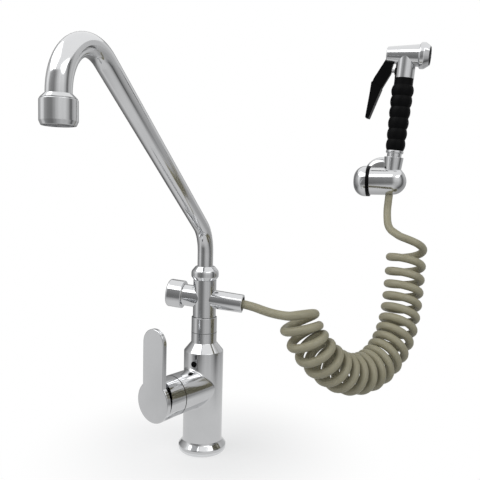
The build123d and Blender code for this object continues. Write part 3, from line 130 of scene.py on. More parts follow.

# Name, body, middle, way and radius of the dark ring in each seam, a thin sheet of painted shade
# where the gap's shadow falls
UP = Vector((0.0, 0.0, 1.0))
LEVER_PIVOT = Vector((-0.016545, -0.056216, 0.0786))
LEVER_AXIS = Vector((-0.282341, -0.959314, 0.0))
LEVER_RIM = LEVER_PIVOT - LEVER_AXIS * 0.00575
NECK_TOP = Vector((0.0, 0.0, 0.1418))
COLLAR_TOP = Vector((0.0, 0.0, 0.1597))
SEAM_SHADE_RINGS = (
    ("neck_seam_shade", "faucet_body", NECK_TOP, UP, 0.0145),
    ("collar_seam_shade", "faucet_body", COLLAR_TOP, UP, 0.0137),
    ("lever_seam_shade", "lever", LEVER_RIM, LEVER_AXIS, 0.0219),
)
RING_STEPS = 120
WIRE_STEPS = 10

# Finish of each of the record's slots
FINISH_NAMES = {
    "chrome": "polished_chrome",
    "brass": "turned_brass",
    "steel": "plain_steel",
    "seal_rubber": "seal_rubber",
    "black_plastic": "black_moulding",
    "grip_rubber": "ribbed_rubber",
    "cartridge_plastic": "natural_plastic",
    "ceramic": "lapped_ceramic",
    "hose": "khaki_hose",
}

# Floor: its grey, and the distances over which it turns to plain white
FLOOR_RADIUS = 3.0
FLOOR_STEPS = 96
FLOOR_PLACE = (0.1, 0.0, -0.0006)
FLOOR_LEVEL = 0.93
FLOOR_FADE = (0.03, 0.22)
FLOOR_GLOW = (0.62, 1.0)

# Studio cards: radius and height of each row, strength by height, and the
# distances over which the white round the column gives way to the bands
CARD_ROWS = ((0.035, 0.0008), (1.4, 0.0008), (1.4, 1.33))
CARD_STEPS = 128
CARD_HEIGHT = 0.8
CARD_STRENGTH = (0.69, 1.01)
CARD_NEAR = (0.15, 0.45)
NEAR_LEVEL = 1.0

# Grey levels of the studio cards by plan angle
STUDIO_BANDS = (
    (-180.0, 0.5),
    (-166.0, 0.62),
    (-157.0, 0.95),
    (-147.0, 1.0),
    (-138.0, 0.85),
    (-126.0, 0.4),
    (-106.0, 0.28),
    (-92.0, 0.26),
    (-80.0, 0.42),
    (-68.0, 0.66),
    (-54.0, 0.82),
    (-40.0, 0.78),
    (-28.0, 0.8),
    (-13.0, 0.6),
    (3.0, 0.27),
    (11.0, 0.12),
    (20.0, 0.4),
    (37.0, 0.62),
    (60.0, 0.6),
    (80.0, 0.75),
    (110.0, 0.38),
    (144.0, 0.22),
    (180.0, 0.5),
)

# Name, place, aim, size and power of each lamp
LAMPS = (
    ("key_light", (-0.9, -0.9, 1.3), (0.05, 0.0, 0.25), 1.8, 16.0),
    ("fill_light", (1.3, -0.7, 0.9), (0.1, 0.0, 0.25), 1.3, 8.0),
)
SKY_COLOUR = (0.82, 0.84, 0.87, 1.0)
SKY_STRENGTH = 0.42

# Camera of the photograph
CAMERA_PLACE = (0.2818, -0.6231, 0.302)
CAMERA_WAY = Vector((-0.3573, 0.9310, -0.0753))
CAMERA_ROLL = math.radians(1.29)
CAMERA_LENS = 44.22


class FaucetHose(bpy.types.PropertyGroup):
    """Sizes of the coiled hose."""

    diameter: bpy.props.FloatProperty(
        name="Diameter",
        description="Outside of the hose",
        default=0.010,
        unit="LENGTH",
    )
    curl_radius: bpy.props.FloatProperty(
        name="Curl radius",
        description="Middle of the hose in a curl at the outlet end",
        default=0.019,
        unit="LENGTH",
    )
    curl_growth: bpy.props.FloatProperty(
        name="Curl growth",
        description="How much wider the last curl is",
        default=0.0013,
        unit="LENGTH",
    )
    turns: bpy.props.FloatProperty(
        name="Turns",
        description="Curls along the axis",
        default=20.2306,
    )
    start_angle: bpy.props.FloatProperty(
        name="Start angle",
        description="Where the first curl begins",
        default=math.radians(35.0),
        subtype="ANGLE",
    )
    opening: bpy.props.FloatProperty(
        name="Opening",
        description="How far the pitch opens at the holder end",
        default=0.052,
    )
    points_per_turn: bpy.props.IntProperty(
        name="Points per turn",
        description="Control points in each curl",
        default=16,
        min=12,
    )


class FaucetFinish(bpy.types.PropertyGroup):
    """Colours of the finishes."""

    chrome: bpy.props.FloatVectorProperty(
        name="Chrome",
        description="Polished plate",
        default=(0.70, 0.706, 0.716),
        subtype="COLOR",
    )
    hose: bpy.props.FloatVectorProperty(
        name="Hose",
        description="Khaki hose",
        default=(0.36, 0.335, 0.23),
        subtype="COLOR",
    )
    black: bpy.props.FloatVectorProperty(
        name="Black",
        description="Black plastic and rubber",
        default=(0.003, 0.003, 0.0033),
        subtype="COLOR",
    )


class FaucetSpray(bpy.types.PropertyGroup):
    """Sizes of the jet rims, aerator screen and screw slot."""

    rim_radius: bpy.props.FloatProperty(
        name="Rim radius",
        description="Rim round a spray jet",
        default=0.00125,
        unit="LENGTH",
    )
    rim_wire: bpy.props.FloatProperty(
        name="Rim wire",
        description="Thickness of that rim",
        default=0.0003,
        unit="LENGTH",
    )
    screen_radius: bpy.props.FloatProperty(
        name="Screen radius",
        description="Wire screen in the aerator's mouth",
        default=0.0096,
        unit="LENGTH",
    )
    screen_wire: bpy.props.FloatProperty(
        name="Screen wire",
        description="Thickness of the screen's wires",
        default=0.00016,
        unit="LENGTH",
    )
    screen_count: bpy.props.IntProperty(
        name="Screen wires",
        description="Wires across the screen each way",
        default=17,
        min=3,
    )
    # The seam's dark ring is painted shade that stands in for the shadow in the gap
    seam_shade_wire: bpy.props.FloatProperty(
        name="Seam shade wire",
        description="Half the thickness of the dark ring in a seam",
        default=0.0004,
        unit="LENGTH",
    )
    spring_radius: bpy.props.FloatProperty(
        name="Spring radius",
        description="Middle of the wire in the valve's spring",
        default=0.0032,
        unit="LENGTH",
    )
    spring_wire: bpy.props.FloatProperty(
        name="Spring wire",
        description="Half the thickness of that wire",
        default=0.0004,
        unit="LENGTH",
    )
    spring_turns: bpy.props.IntProperty(
        name="Spring turns",
        description="Turns of that spring",
        default=5,
        min=2,
    )
    slot_length: bpy.props.FloatProperty(
        name="Slot length",
        description="Arm of the cross in the knob's screw",
        default=0.0052,
        unit="LENGTH",
    )


def settings():
    """The sizes and colours shown in the panel."""
    return bpy.context.scene


def add_to_scene(name, data):
    """A new object at the origin."""
    piece = bpy.data.objects.new(name, data)
    bpy.context.collection.objects.link(piece)
    return piece


def nurbs_line(name, points, bevel=0.0):
    """A curve of one open spline with these control points."""
    curve = bpy.data.curves.new(name, "CURVE")
    curve.dimensions = "3D"
    curve.resolution_u = 6
    spline = curve.splines.new("NURBS")
    spline.points.add(len(points) - 1)
    for point, place in zip(spline.points, points):
        point.co = (*place, 1.0)
    spline.order_u = 3
    spline.use_endpoint_u = True
    curve.bevel_depth = bevel
    curve.bevel_resolution = 6
    curve.use_fill_caps = bevel > 0
    return add_to_scene(name, curve)


def line_points(piece):
    """Points along a curve, as its mesh gives them."""
    depsgraph = bpy.context.evaluated_depsgraph_get()
    mesh = bpy.data.meshes.new_from_object(piece.evaluated_get(depsgraph))
    points = [vertex.co.copy() for vertex in mesh.vertices]
    bpy.data.meshes.remove(mesh)
    return points


def tube(name, points, radius):
    """A mesh tube along a curve with these control points, and the points it follows."""
    line = nurbs_line(name + "_line", points)
    path = line_points(line)
    line.data.bevel_depth = radius
    line.data.use_fill_caps = True
    depsgraph = bpy.context.evaluated_depsgraph_get()
    mesh = bpy.data.meshes.new_from_object(line.evaluated_get(depsgraph))
    mesh.name = name
    bpy.data.objects.remove(line)
    return add_to_scene(name, mesh), path


def walk(points):
    """Function giving place and direction at a share of a line's length."""
    lengths = [0.0]
    for first, last in zip(points, points[1:]):
        lengths.append(lengths[-1] + (last - first).length)

    def place_at(share):
        want = share * lengths[-1]
        index = 0
        while index < len(points) - 2 and lengths[index + 1] < want:
            index += 1
        span = lengths[index + 1] - lengths[index]
        return points[index].lerp(points[index + 1], (want - lengths[index]) / span)

    def place_and_way(share):
        ahead = place_at(min(share + WALK_STEP, 1.0))
        behind = place_at(max(share - WALK_STEP, 0.0))
        return place_at(share), (ahead - behind).normalized()

    return place_and_way


def spline_swell(steps):
    """Share of its control points' radius that a round curve of order 3 keeps."""
    return 0.75 + 0.25 * math.cos(math.tau / steps)


def facing_matrix(middle, way, side):
    """Matrix that lays a flat piece at a place, facing a way."""
    way = way.normalized()
    across = (side - way * side.dot(way)).normalized()
    turn = Matrix((across, way.cross(across), way)).transposed().to_4x4()
    return Matrix.Translation(middle) @ turn


def filled_mesh(name, work):
    """A mesh with the faces that have been drawn."""
    mesh = bpy.data.meshes.new(name)
    work.to_mesh(mesh)
    work.free()
    return mesh


def grey(level):
    """A plain grey for a colour socket."""
    return (level, level, level, 1.0)


def ring_mesh(name, radius, wire):
    """A round ring of round wire, flat in its own plane."""
    work = bmesh.new()
    loops = []
    for step in range(RING_STEPS):
        turn = math.tau * step / RING_STEPS
        loop = []
        for corner in range(WIRE_STEPS):
            bend = math.tau * corner / WIRE_STEPS
            out = radius + wire * math.cos(bend)
            spot = (out * math.cos(turn), out * math.sin(turn), wire * math.sin(bend))
            loop.append(work.verts.new(spot))
        loops.append(loop)
    for first, last in zip(loops, loops[1:] + loops[:1]):
        for corner in range(WIRE_STEPS):
            ahead = (corner + 1) % WIRE_STEPS
            face = work.faces.new((first[corner], last[corner], last[ahead], first[ahead]))
            face.smooth = True
    return filled_mesh(name, work)


def math_node(tree, operation, *given):
    """Result of a maths node fed by sockets or plain numbers."""
    node = tree.nodes.new("ShaderNodeMath")
    node.operation = operation
    for socket, value in zip(node.inputs, given):
        if isinstance(value, bpy.types.NodeSocket):
            tree.links.new(value, socket)
        else:
            socket.default_value = value
    return node.outputs["Value"]


def map_range(tree, value, given, wanted=(0.0, 1.0)):
    """A node that maps a value from one range to another."""
    node = tree.nodes.new("ShaderNodeMapRange")
    node.inputs["From Min"].default_value, node.inputs["From Max"].default_value = given
    node.inputs["To Min"].default_value, node.inputs["To Max"].default_value = wanted
    tree.links.new(value, node.inputs["Value"])
    return node


def geometry_tree(name, inputs):
    """An empty geometry tree with named inputs and one output."""
    tree = bpy.data.node_groups.new(name, "GeometryNodeTree")
    for label, kind in inputs:
        tree.interface.new_socket(label, in_out="INPUT", socket_type=kind)
    tree.interface.new_socket("Geometry", in_out="OUTPUT", socket_type="NodeSocketGeometry")
    start = tree.nodes.new("NodeGroupInput")
    end = tree.nodes.new("NodeGroupOutput")
    return tree, start, end


def grown(name, tree, values):
    """A plain mesh grown by a geometry tree from these input values."""
    seed = add_to_scene(name + "_seed", bpy.data.meshes.new(name + "_seed"))
    modifier = seed.modifiers.new(name, "NODES")
    modifier.node_group = tree
    for socket in tree.interface.items_tree:
        if socket.in_out == "INPUT":
            modifier[socket.identifier] = values[socket.name]
    depsgraph = bpy.context.evaluated_depsgraph_get()
    mesh = bpy.data.meshes.new_from_object(seed.evaluated_get(depsgraph))
    mesh.name = name
    bpy.data.objects.remove(seed)
    return add_to_scene(name, mesh)


def rims_tree():
    """Two rings of small round rims."""
    tree, start, end = geometry_tree(
        "ring_of_rims",
        [
            ("Inner Ring", "NodeSocketFloat"),
            ("Inner Count", "NodeSocketInt"),
            ("Outer Ring", "NodeSocketFloat"),
            ("Outer Count", "NodeSocketInt"),
            ("Rim Radius", "NodeSocketFloat"),
            ("Rim Wire", "NodeSocketFloat"),
            ("Finish", "NodeSocketMaterial"),
        ],
    )
    nodes, links = tree.nodes, tree.links
    join = nodes.new("GeometryNodeJoinGeometry")
    for ring in ("Inner", "Outer"):
        circle = nodes.new("GeometryNodeMeshCircle")
        links.new(start.outputs[ring + " Ring"], circle.inputs["Radius"])
        links.new(start.outputs[ring + " Count"], circle.inputs["Vertices"])
        links.new(circle.outputs["Mesh"], join.inputs["Geometry"])
    rim = nodes.new("GeometryNodeCurvePrimitiveCircle")
    rim.inputs["Resolution"].default_value = 20
    wire = nodes.new("GeometryNodeCurvePrimitiveCircle")
    wire.inputs["Resolution"].default_value = 8
    links.new(start.outputs["Rim Radius"], rim.inputs["Radius"])
    links.new(start.outputs["Rim Wire"], wire.inputs["Radius"])
    body = nodes.new("GeometryNodeCurveToMesh")
    links.new(rim.outputs["Curve"], body.inputs["Curve"])
    links.new(wire.outputs["Curve"], body.inputs["Profile Curve"])
    place = nodes.new("GeometryNodeInstanceOnPoints")
    links.new(join.outputs["Geometry"], place.inputs["Points"])
    links.new(body.outputs["Mesh"], place.inputs["Instance"])
    finish_tree(tree, place.outputs["Instances"], start, end)
    return tree


def screen_tree():
    """Wires both ways across a round opening."""
    tree, start, end = geometry_tree(
        "round_screen",
        [
            ("Radius", "NodeSocketFloat"),
            ("Wire", "NodeSocketFloat"),
            ("Count", "NodeSocketInt"),
            ("Finish", "NodeSocketMaterial"),
        ],
    )
    nodes, links = tree.nodes, tree.links
    radius = start.outputs["Radius"]
    first = nodes.new("ShaderNodeCombineXYZ")
    last = nodes.new("ShaderNodeCombineXYZ")
    links.new(math_node(tree, "MULTIPLY", radius, -SCREEN_EDGE), first.inputs["X"])
    links.new(math_node(tree, "MULTIPLY", radius, SCREEN_EDGE), last.inputs["X"])
    row = nodes.new("GeometryNodeMeshLine")
    row.mode = "END_POINTS"
    links.new(start.outputs["Count"], row.inputs["Count"])
    links.new(first.outputs["Vector"], row.inputs["Start Location"])
    links.new(last.outputs["Vector"], row.inputs["Offset"])
    spot = nodes.new("GeometryNodeInputPosition")
    parts = nodes.new("ShaderNodeSeparateXYZ")
    links.new(spot.outputs["Position"], parts.inputs["Vector"])
    square = math_node(tree, "MULTIPLY", parts.outputs["X"], parts.outputs["X"])
    whole = math_node(tree, "MULTIPLY", radius, radius)
    half = math_node(tree, "SQRT", math_node(tree, "SUBTRACT", whole, square))
    size = nodes.new("ShaderNodeCombineXYZ")
    size.inputs["X"].default_value = 1.0
    size.inputs["Y"].default_value = 1.0
    links.new(half, size.inputs["Z"])
    wire = nodes.new("GeometryNodeMeshCylinder")
    wire.inputs["Vertices"].default_value = 6
    wire.inputs["Depth"].default_value = 2.0
    links.new(start.outputs["Wire"], wire.inputs["Radius"])
    place = nodes.new("GeometryNodeInstanceOnPoints")
    place.inputs["Rotation"].default_value = (math.radians(90.0), 0.0, 0.0)
    links.new(row.outputs["Mesh"], place.inputs["Points"])
    links.new(wire.outputs["Mesh"], place.inputs["Instance"])
    links.new(size.outputs["Vector"], place.inputs["Scale"])
    turned = nodes.new("GeometryNodeTransform")
    turned.inputs["Rotation"].default_value = (0.0, 0.0, math.radians(90.0))
    links.new(place.outputs["Instances"], turned.inputs["Geometry"])
    join = nodes.new("GeometryNodeJoinGeometry")
    links.new(place.outputs["Instances"], join.inputs["Geometry"])
    links.new(turned.outputs["Geometry"], join.inputs["Geometry"])
    finish_tree(tree, join.outputs["Geometry"], start, end)
    return tree


def finish_tree(tree, output, start, end):
    """Realize what the tree has placed and give it its finish."""
    real = tree.nodes.new("GeometryNodeRealizeInstances")
    dress = tree.nodes.new("GeometryNodeSetMaterial")
    tree.links.new(output, real.inputs["Geometry"])
    tree.links.new(real.outputs["Geometry"], dress.inputs["Geometry"])
    tree.links.new(start.outputs["Finish"], dress.inputs["Material"])
    tree.links.new(dress.outputs["Geometry"], end.inputs["Geometry"])


def node_group(name, inputs, outputs):
    """An empty shader group with named sockets."""
    group = bpy.data.node_groups.new(name, "ShaderNodeTree")
    for label, kind, default in inputs:
        socket = group.interface.new_socket(label, in_out="INPUT", socket_type=kind)
        socket.default_value = default
    for label, kind in outputs:
        group.interface.new_socket(label, in_out="OUTPUT", socket_type=kind)
    start = group.nodes.new("NodeGroupInput")
    end = group.nodes.new("NodeGroupOutput")
    return group, start, end


def handling_marks():
    """Soft smears and fine grain that vary roughness and height over a surface."""
    name = "handling_marks"
    if name in bpy.data.node_groups:
        return bpy.data.node_groups[name]
    group, start, end = node_group(
        name,
        [
            ("Smear Size", "NodeSocketFloat", 40.0),
            ("Grain Size", "NodeSocketFloat", 900.0),
            ("Low", "NodeSocketFloat", 0.05),
            ("High", "NodeSocketFloat", 0.12),
        ],
        [
            ("Roughness", "NodeSocketFloat"),
            ("Height", "NodeSocketFloat"),
            ("Mask", "NodeSocketFloat"),
        ],
    )
    place = group.nodes.new("ShaderNodeTexCoord")
    smear = group.nodes.new("ShaderNodeTexNoise")
    smear.inputs["Detail"].default_value = 4.0
    smear.inputs["Roughness"].default_value = 0.62
    grain = group.nodes.new("ShaderNodeTexNoise")
    grain.inputs["Detail"].default_value = 2.0
    spread = group.nodes.new("ShaderNodeMapRange")
    spread.inputs["From Min"].default_value = 0.3
    spread.inputs["From Max"].default_value = 0.7
    links = group.links
    links.new(place.outputs["Object"], smear.inputs["Vector"])
    links.new(place.outputs["Object"], grain.inputs["Vector"])
    links.new(start.outputs["Smear Size"], smear.inputs["Scale"])
    links.new(start.outputs["Grain Size"], grain.inputs["Scale"])
    links.new(smear.outputs["Fac"], spread.inputs["Value"])
    links.new(start.outputs["Low"], spread.inputs["To Min"])
    links.new(start.outputs["High"], spread.inputs["To Max"])
    links.new(spread.outputs["Result"], end.inputs["Roughness"])
    links.new(grain.outputs["Fac"], end.inputs["Height"])
    links.new(smear.outputs["Fac"], end.inputs["Mask"])
    return group


def finish_material(
    name,
    colour,
    low,
    high,
    metallic=0.0,
    bump=0.0,
    grain=900.0,
    smear=40.0,
    shift=0.06,
    shine=0.5,
):
    """A procedural finish with its own smears, grain and slight change of colour."""
    material = bpy.data.materials.new(name)
    material.use_nodes = True
    nodes = material.node_tree.nodes
    links = material.node_tree.links
    shader = nodes["Principled BSDF"]
    shader.inputs["Metallic"].default_value = metallic
    shader.inputs["Specular IOR Level"].default_value = shine
    marks = nodes.new("ShaderNodeGroup")
    marks.node_tree = handling_marks()
    marks.inputs["Smear Size"].default_value = smear
    marks.inputs["Grain Size"].default_value = grain
    marks.inputs["Low"].default_value = low
    marks.inputs["High"].default_value = high
    tint = nodes.new("ShaderNodeValToRGB")
    darker, lighter = tint.color_ramp.elements
    darker.position = 0.3
    lighter.position = 0.7
    darker.color = (*[part * (1.0 - shift) for part in colour], 1.0)
    lighter.color = (*[min(part * (1.0 + shift), 1.0) for part in colour], 1.0)
    links.new(marks.outputs["Mask"], tint.inputs["Fac"])
    links.new(tint.outputs["Color"], shader.inputs["Base Color"])
    links.new(marks.outputs["Roughness"], shader.inputs["Roughness"])
    if bump:
        relief = nodes.new("ShaderNodeBump")
        relief.inputs["Strength"].default_value = bump
        relief.inputs["Distance"].default_value = 0.0004
        links.new(marks.outputs["Height"], relief.inputs["Height"])
        links.new(relief.outputs["Normal"], shader.inputs["Normal"])
    return material


def make_finishes():
    """Mix every finish once."""
    colours = settings().faucet_finish
    black = colours.black
    finish_material(
        "polished_chrome", colours.chrome, 0.07, 0.12, metallic=1.0, smear=26.0, shift=0.03
    )
    finish_material("turned_brass", (0.62, 0.46, 0.2), 0.2, 0.32, metallic=1.0, bump=0.05)
    finish_material("plain_steel", (0.5, 0.5, 0.51), 0.24, 0.36, metallic=1.0, bump=0.06)
    finish_material("seal_rubber", black, 0.55, 0.7, bump=0.1, shine=0.2)
    finish_material("black_moulding", black, 0.3, 0.42, bump=0.08, grain=1400.0, shine=0.06)
    finish_material("ribbed_rubber", black, 0.36, 0.5, bump=0.16, grain=2200.0, shine=0.06)
    finish_material("natural_plastic", (0.6, 0.59, 0.55), 0.4, 0.5, bump=0.05)
    finish_material("lapped_ceramic", (0.8, 0.8, 0.78), 0.1, 0.18)
    hose = finish_material(
        "khaki_hose",
        colours.hose,
        0.34,
        0.46,
        bump=0.05,
        grain=1100.0,
        smear=55.0,
        shift=0.07,
        shine=0.42,
    )
    shader = hose.node_tree.nodes["Principled BSDF"]
    shader.inputs["Subsurface Weight"].default_value = 0.12
    shader.inputs["Subsurface Radius"].default_value = (0.004, 0.003, 0.002)


def finishes():
    """Every finish by the record's slot name."""
    if "polished_chrome" not in bpy.data.materials:
        make_finishes()
    return {slot: bpy.data.materials[name] for slot, name in FINISH_NAMES.items()}


class FAUCET_OT_finishes(bpy.types.Operator):
    """Give each solid its finish."""

    bl_idname = "faucet.finishes"
    bl_label = "Solid Finishes"

    def execute(self, context):
        made = finishes()
        for entry in frame["record"]["subparts"]:
            node = frame["nodes"][entry["node"]]
            node.data.materials.clear()
            node.data.materials.append(made[entry["material_slot"]])
        return {"FINISHED"}


class FAUCET_OT_hose(bpy.types.Operator):
    """Wind the khaki hose from the outlet to the hand spray."""

    bl_idname = "faucet.hose"
    bl_label = "Coiled Hose"

    def execute(self, context):
        sizes = settings().faucet_hose
        run_points = [
            OUTLET_CENTRE + OUTLET_AXIS * HOSE_START,
            OUTLET_CENTRE + OUTLET_AXIS * HOSE_MOUTH,
            COIL_FROM - COIL_FROM_WAY * COIL_LEAD,
            *self.curls(sizes),
            COIL_TO,
        ]
        run = nurbs_line("hose_run", run_points, sizes.diameter / 2)
        holder_foot = SOCKET_ORIGIN - LEAN_WAY * HOLDER_FOOT
        rise_points = [
            COIL_TO,
            COIL_TO + COIL_TO_WAY * COIL_TRAIL,
            TAIL_TURN,
            SOCKET_ORIGIN - LEAN_WAY * RISE_END,
            holder_foot,
        ]
        rise, rise_path = tube("hose_rise", rise_points, sizes.diameter / 2)
        entry_top = SOCKET_ORIGIN + LEAN_WAY * ENTRY_END
        entry_points = [holder_foot, SOCKET_ORIGIN, entry_top]
        entry = tube("hose_entry", entry_points, sizes.diameter / 2)[0]
        for piece in (run, rise, entry):
            piece.data.materials.append(finishes()["hose"])
        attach(run, "faucet_body")
        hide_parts("hose_lead", "hose_coil")
        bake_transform(rise)
        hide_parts("hose_tail")
        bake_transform(entry)
        return {"FINISHED"}

    def curls(self, sizes):
        """Control points of the coil, wound round its hanging axis."""
        axis = nurbs_line("coil_axis", [Vector(point) for point in COIL_AXIS])
        axis.data.resolution_u = 24
        along = walk(line_points(axis))
        bpy.data.objects.remove(axis)

        facing = Vector((math.cos(CURL_FACING), math.sin(CURL_FACING), 0.0))
        count = round(sizes.turns * sizes.points_per_turn)
        swell = spline_swell(sizes.points_per_turn)
        points = []
        for index in range(count + 1):
            share = index / count
            opened = share - sizes.opening * share**OPENING_POWER
            wound = opened / (1.0 - sizes.opening)
            angle = sizes.start_angle - math.tau * sizes.turns * wound
            place, way = along(share)
            front = (facing - way * facing.dot(way)).normalized()
            spoke = front * math.cos(angle) + way.cross(front) * math.sin(angle)
            radius = (sizes.curl_radius + sizes.curl_growth * share) / swell
            points.append(place + spoke * radius)
        return points


class FAUCET_OT_jet_rims(bpy.types.Operator):
    """Set a soft rim round each jet of the spray face."""

    bl_idname = "faucet.jet_rims"
    bl_label = "Jet Rims"

    def execute(self, context):
        sizes = settings().faucet_spray
        values = {
            "Inner Ring": INNER_RING,
            "Inner Count": INNER_JETS,
            "Outer Ring": OUTER_RING,
            "Outer Count": OUTER_JETS,
            "Rim Radius": sizes.rim_radius,
            "Rim Wire": sizes.rim_wire,
            "Finish": finishes()["black_plastic"],
        }
        rims = grown("jet_rims", rims_tree(), values)
        middle = SOCKET_ORIGIN + LEAN_WAY * FACE_HEIGHT + FACE_WAY * FACE_REACH
        rims.data.transform(facing_matrix(middle, FACE_WAY, Vector((0.0, 1.0, 0.0))))
        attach(rims, "hand_spray")
        return {"FINISHED"}


class FAUCET_OT_aerator_screen(bpy.types.Operator):
    """Weave the fine wire screen across the aerator's mouth."""

    bl_idname = "faucet.aerator_screen"
    bl_label = "Aerator Screen"

    def execute(self, context):
        sizes = settings().faucet_spray
        values = {
            "Radius": sizes.screen_radius,
            "Wire": sizes.screen_wire,
            "Count": sizes.screen_count,
            "Finish": finishes()["steel"],
        }
        screen = grown("aerator_screen", screen_tree(), values)
        screen.data.transform(Matrix.Translation(SPOUT_MOUTH))
        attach(screen, "spout")
        return {"FINISHED"}


class FAUCET_OT_screw_slot_shade(bpy.types.Operator):
    """Lay a thin dark cross of painted shade where the knob's screw has its cross recess."""

    bl_idname = "faucet.screw_cross"
    bl_label = "Screw Slot Shade"

    def execute(self, context):
        sizes = settings().faucet_spray
        work = bmesh.new()
        arm = sizes.slot_length
        slim = arm / CROSS_SLIMNESS
        for length, width in ((arm, slim), (slim, arm)):
            shape = Matrix.Diagonal((length, width, CROSS_DEPTH, 1.0))
            bmesh.ops.create_cube(work, size=1.0, matrix=shape)
        mesh = filled_mesh("screw_cross", work)
        middle = OUTLET_CENTRE - OUTLET_AXIS * SCREW_FACE
        mesh.transform(facing_matrix(middle, -OUTLET_AXIS, UP))
        cross = add_to_scene("screw_cross", mesh)
        # The black finish paints the shade inside the screw's cross recess
        mesh.materials.append(finishes()["seal_rubber"])
        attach(cross, "diverter")
        return {"FINISHED"}


class FAUCET_OT_painted_seam_shade(bpy.types.Operator):
    """Lay a thin dark ring of painted shade in each seam of the column and lever, where the gap
    casts its shadow.
    """

    bl_idname = "faucet.seam_rings"
    bl_label = "Painted Seam Shade"

    def execute(self, context):
        wire = settings().faucet_spray.seam_shade_wire
        side = Vector((1.0, 0.0, 0.0))
        for name, body, middle, way, radius in SEAM_SHADE_RINGS:
            # Each ring uses the black rubber finish to paint the seam's gap shadow as a dark line
            ring = add_to_scene(name, ring_mesh(name, radius, wire))
            ring.data.transform(facing_matrix(middle, way, side))
            ring.data.materials.append(finishes()["seal_rubber"])
            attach(ring, body)
        return {"FINISHED"}


class FAUCET_OT_valve_coil(bpy.types.Operator):
    """Wind the spring behind the spray's valve."""

    bl_idname = "faucet.valve_coil"
    bl_label = "Valve Spring"

    def execute(self, context):
        sizes = settings().faucet_spray
        middle = SOCKET_ORIGIN + LEAN_WAY * VALVE_HEIGHT
        seat = middle + FACE_WAY * SPRING_SEAT
        head = middle - FACE_WAY * SPRING_HEAD
        side = Vector((0.0, 1.0, 0.0))
        across = FACE_WAY.cross(side)
        inset = FACE_WAY * (sizes.spring_wire + SPRING_CLEAR)
        steps = SPRING_STEPS * sizes.spring_turns
        swell = spline_swell(SPRING_STEPS)
        points = []
        for step in range(steps + 1):
            turn = math.tau * step / SPRING_STEPS
            place = (head + inset).lerp(seat - inset, step / steps)
            spoke = side * math.cos(turn) + across * math.sin(turn)
            points.append(place + spoke * sizes.spring_radius / swell)
        spring = tube("valve_coil", points, sizes.spring_wire)[0]
        spring.data.materials.append(finishes()["steel"])
        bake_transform(spring)
        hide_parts("valve_spring")
        return {"FINISHED"}


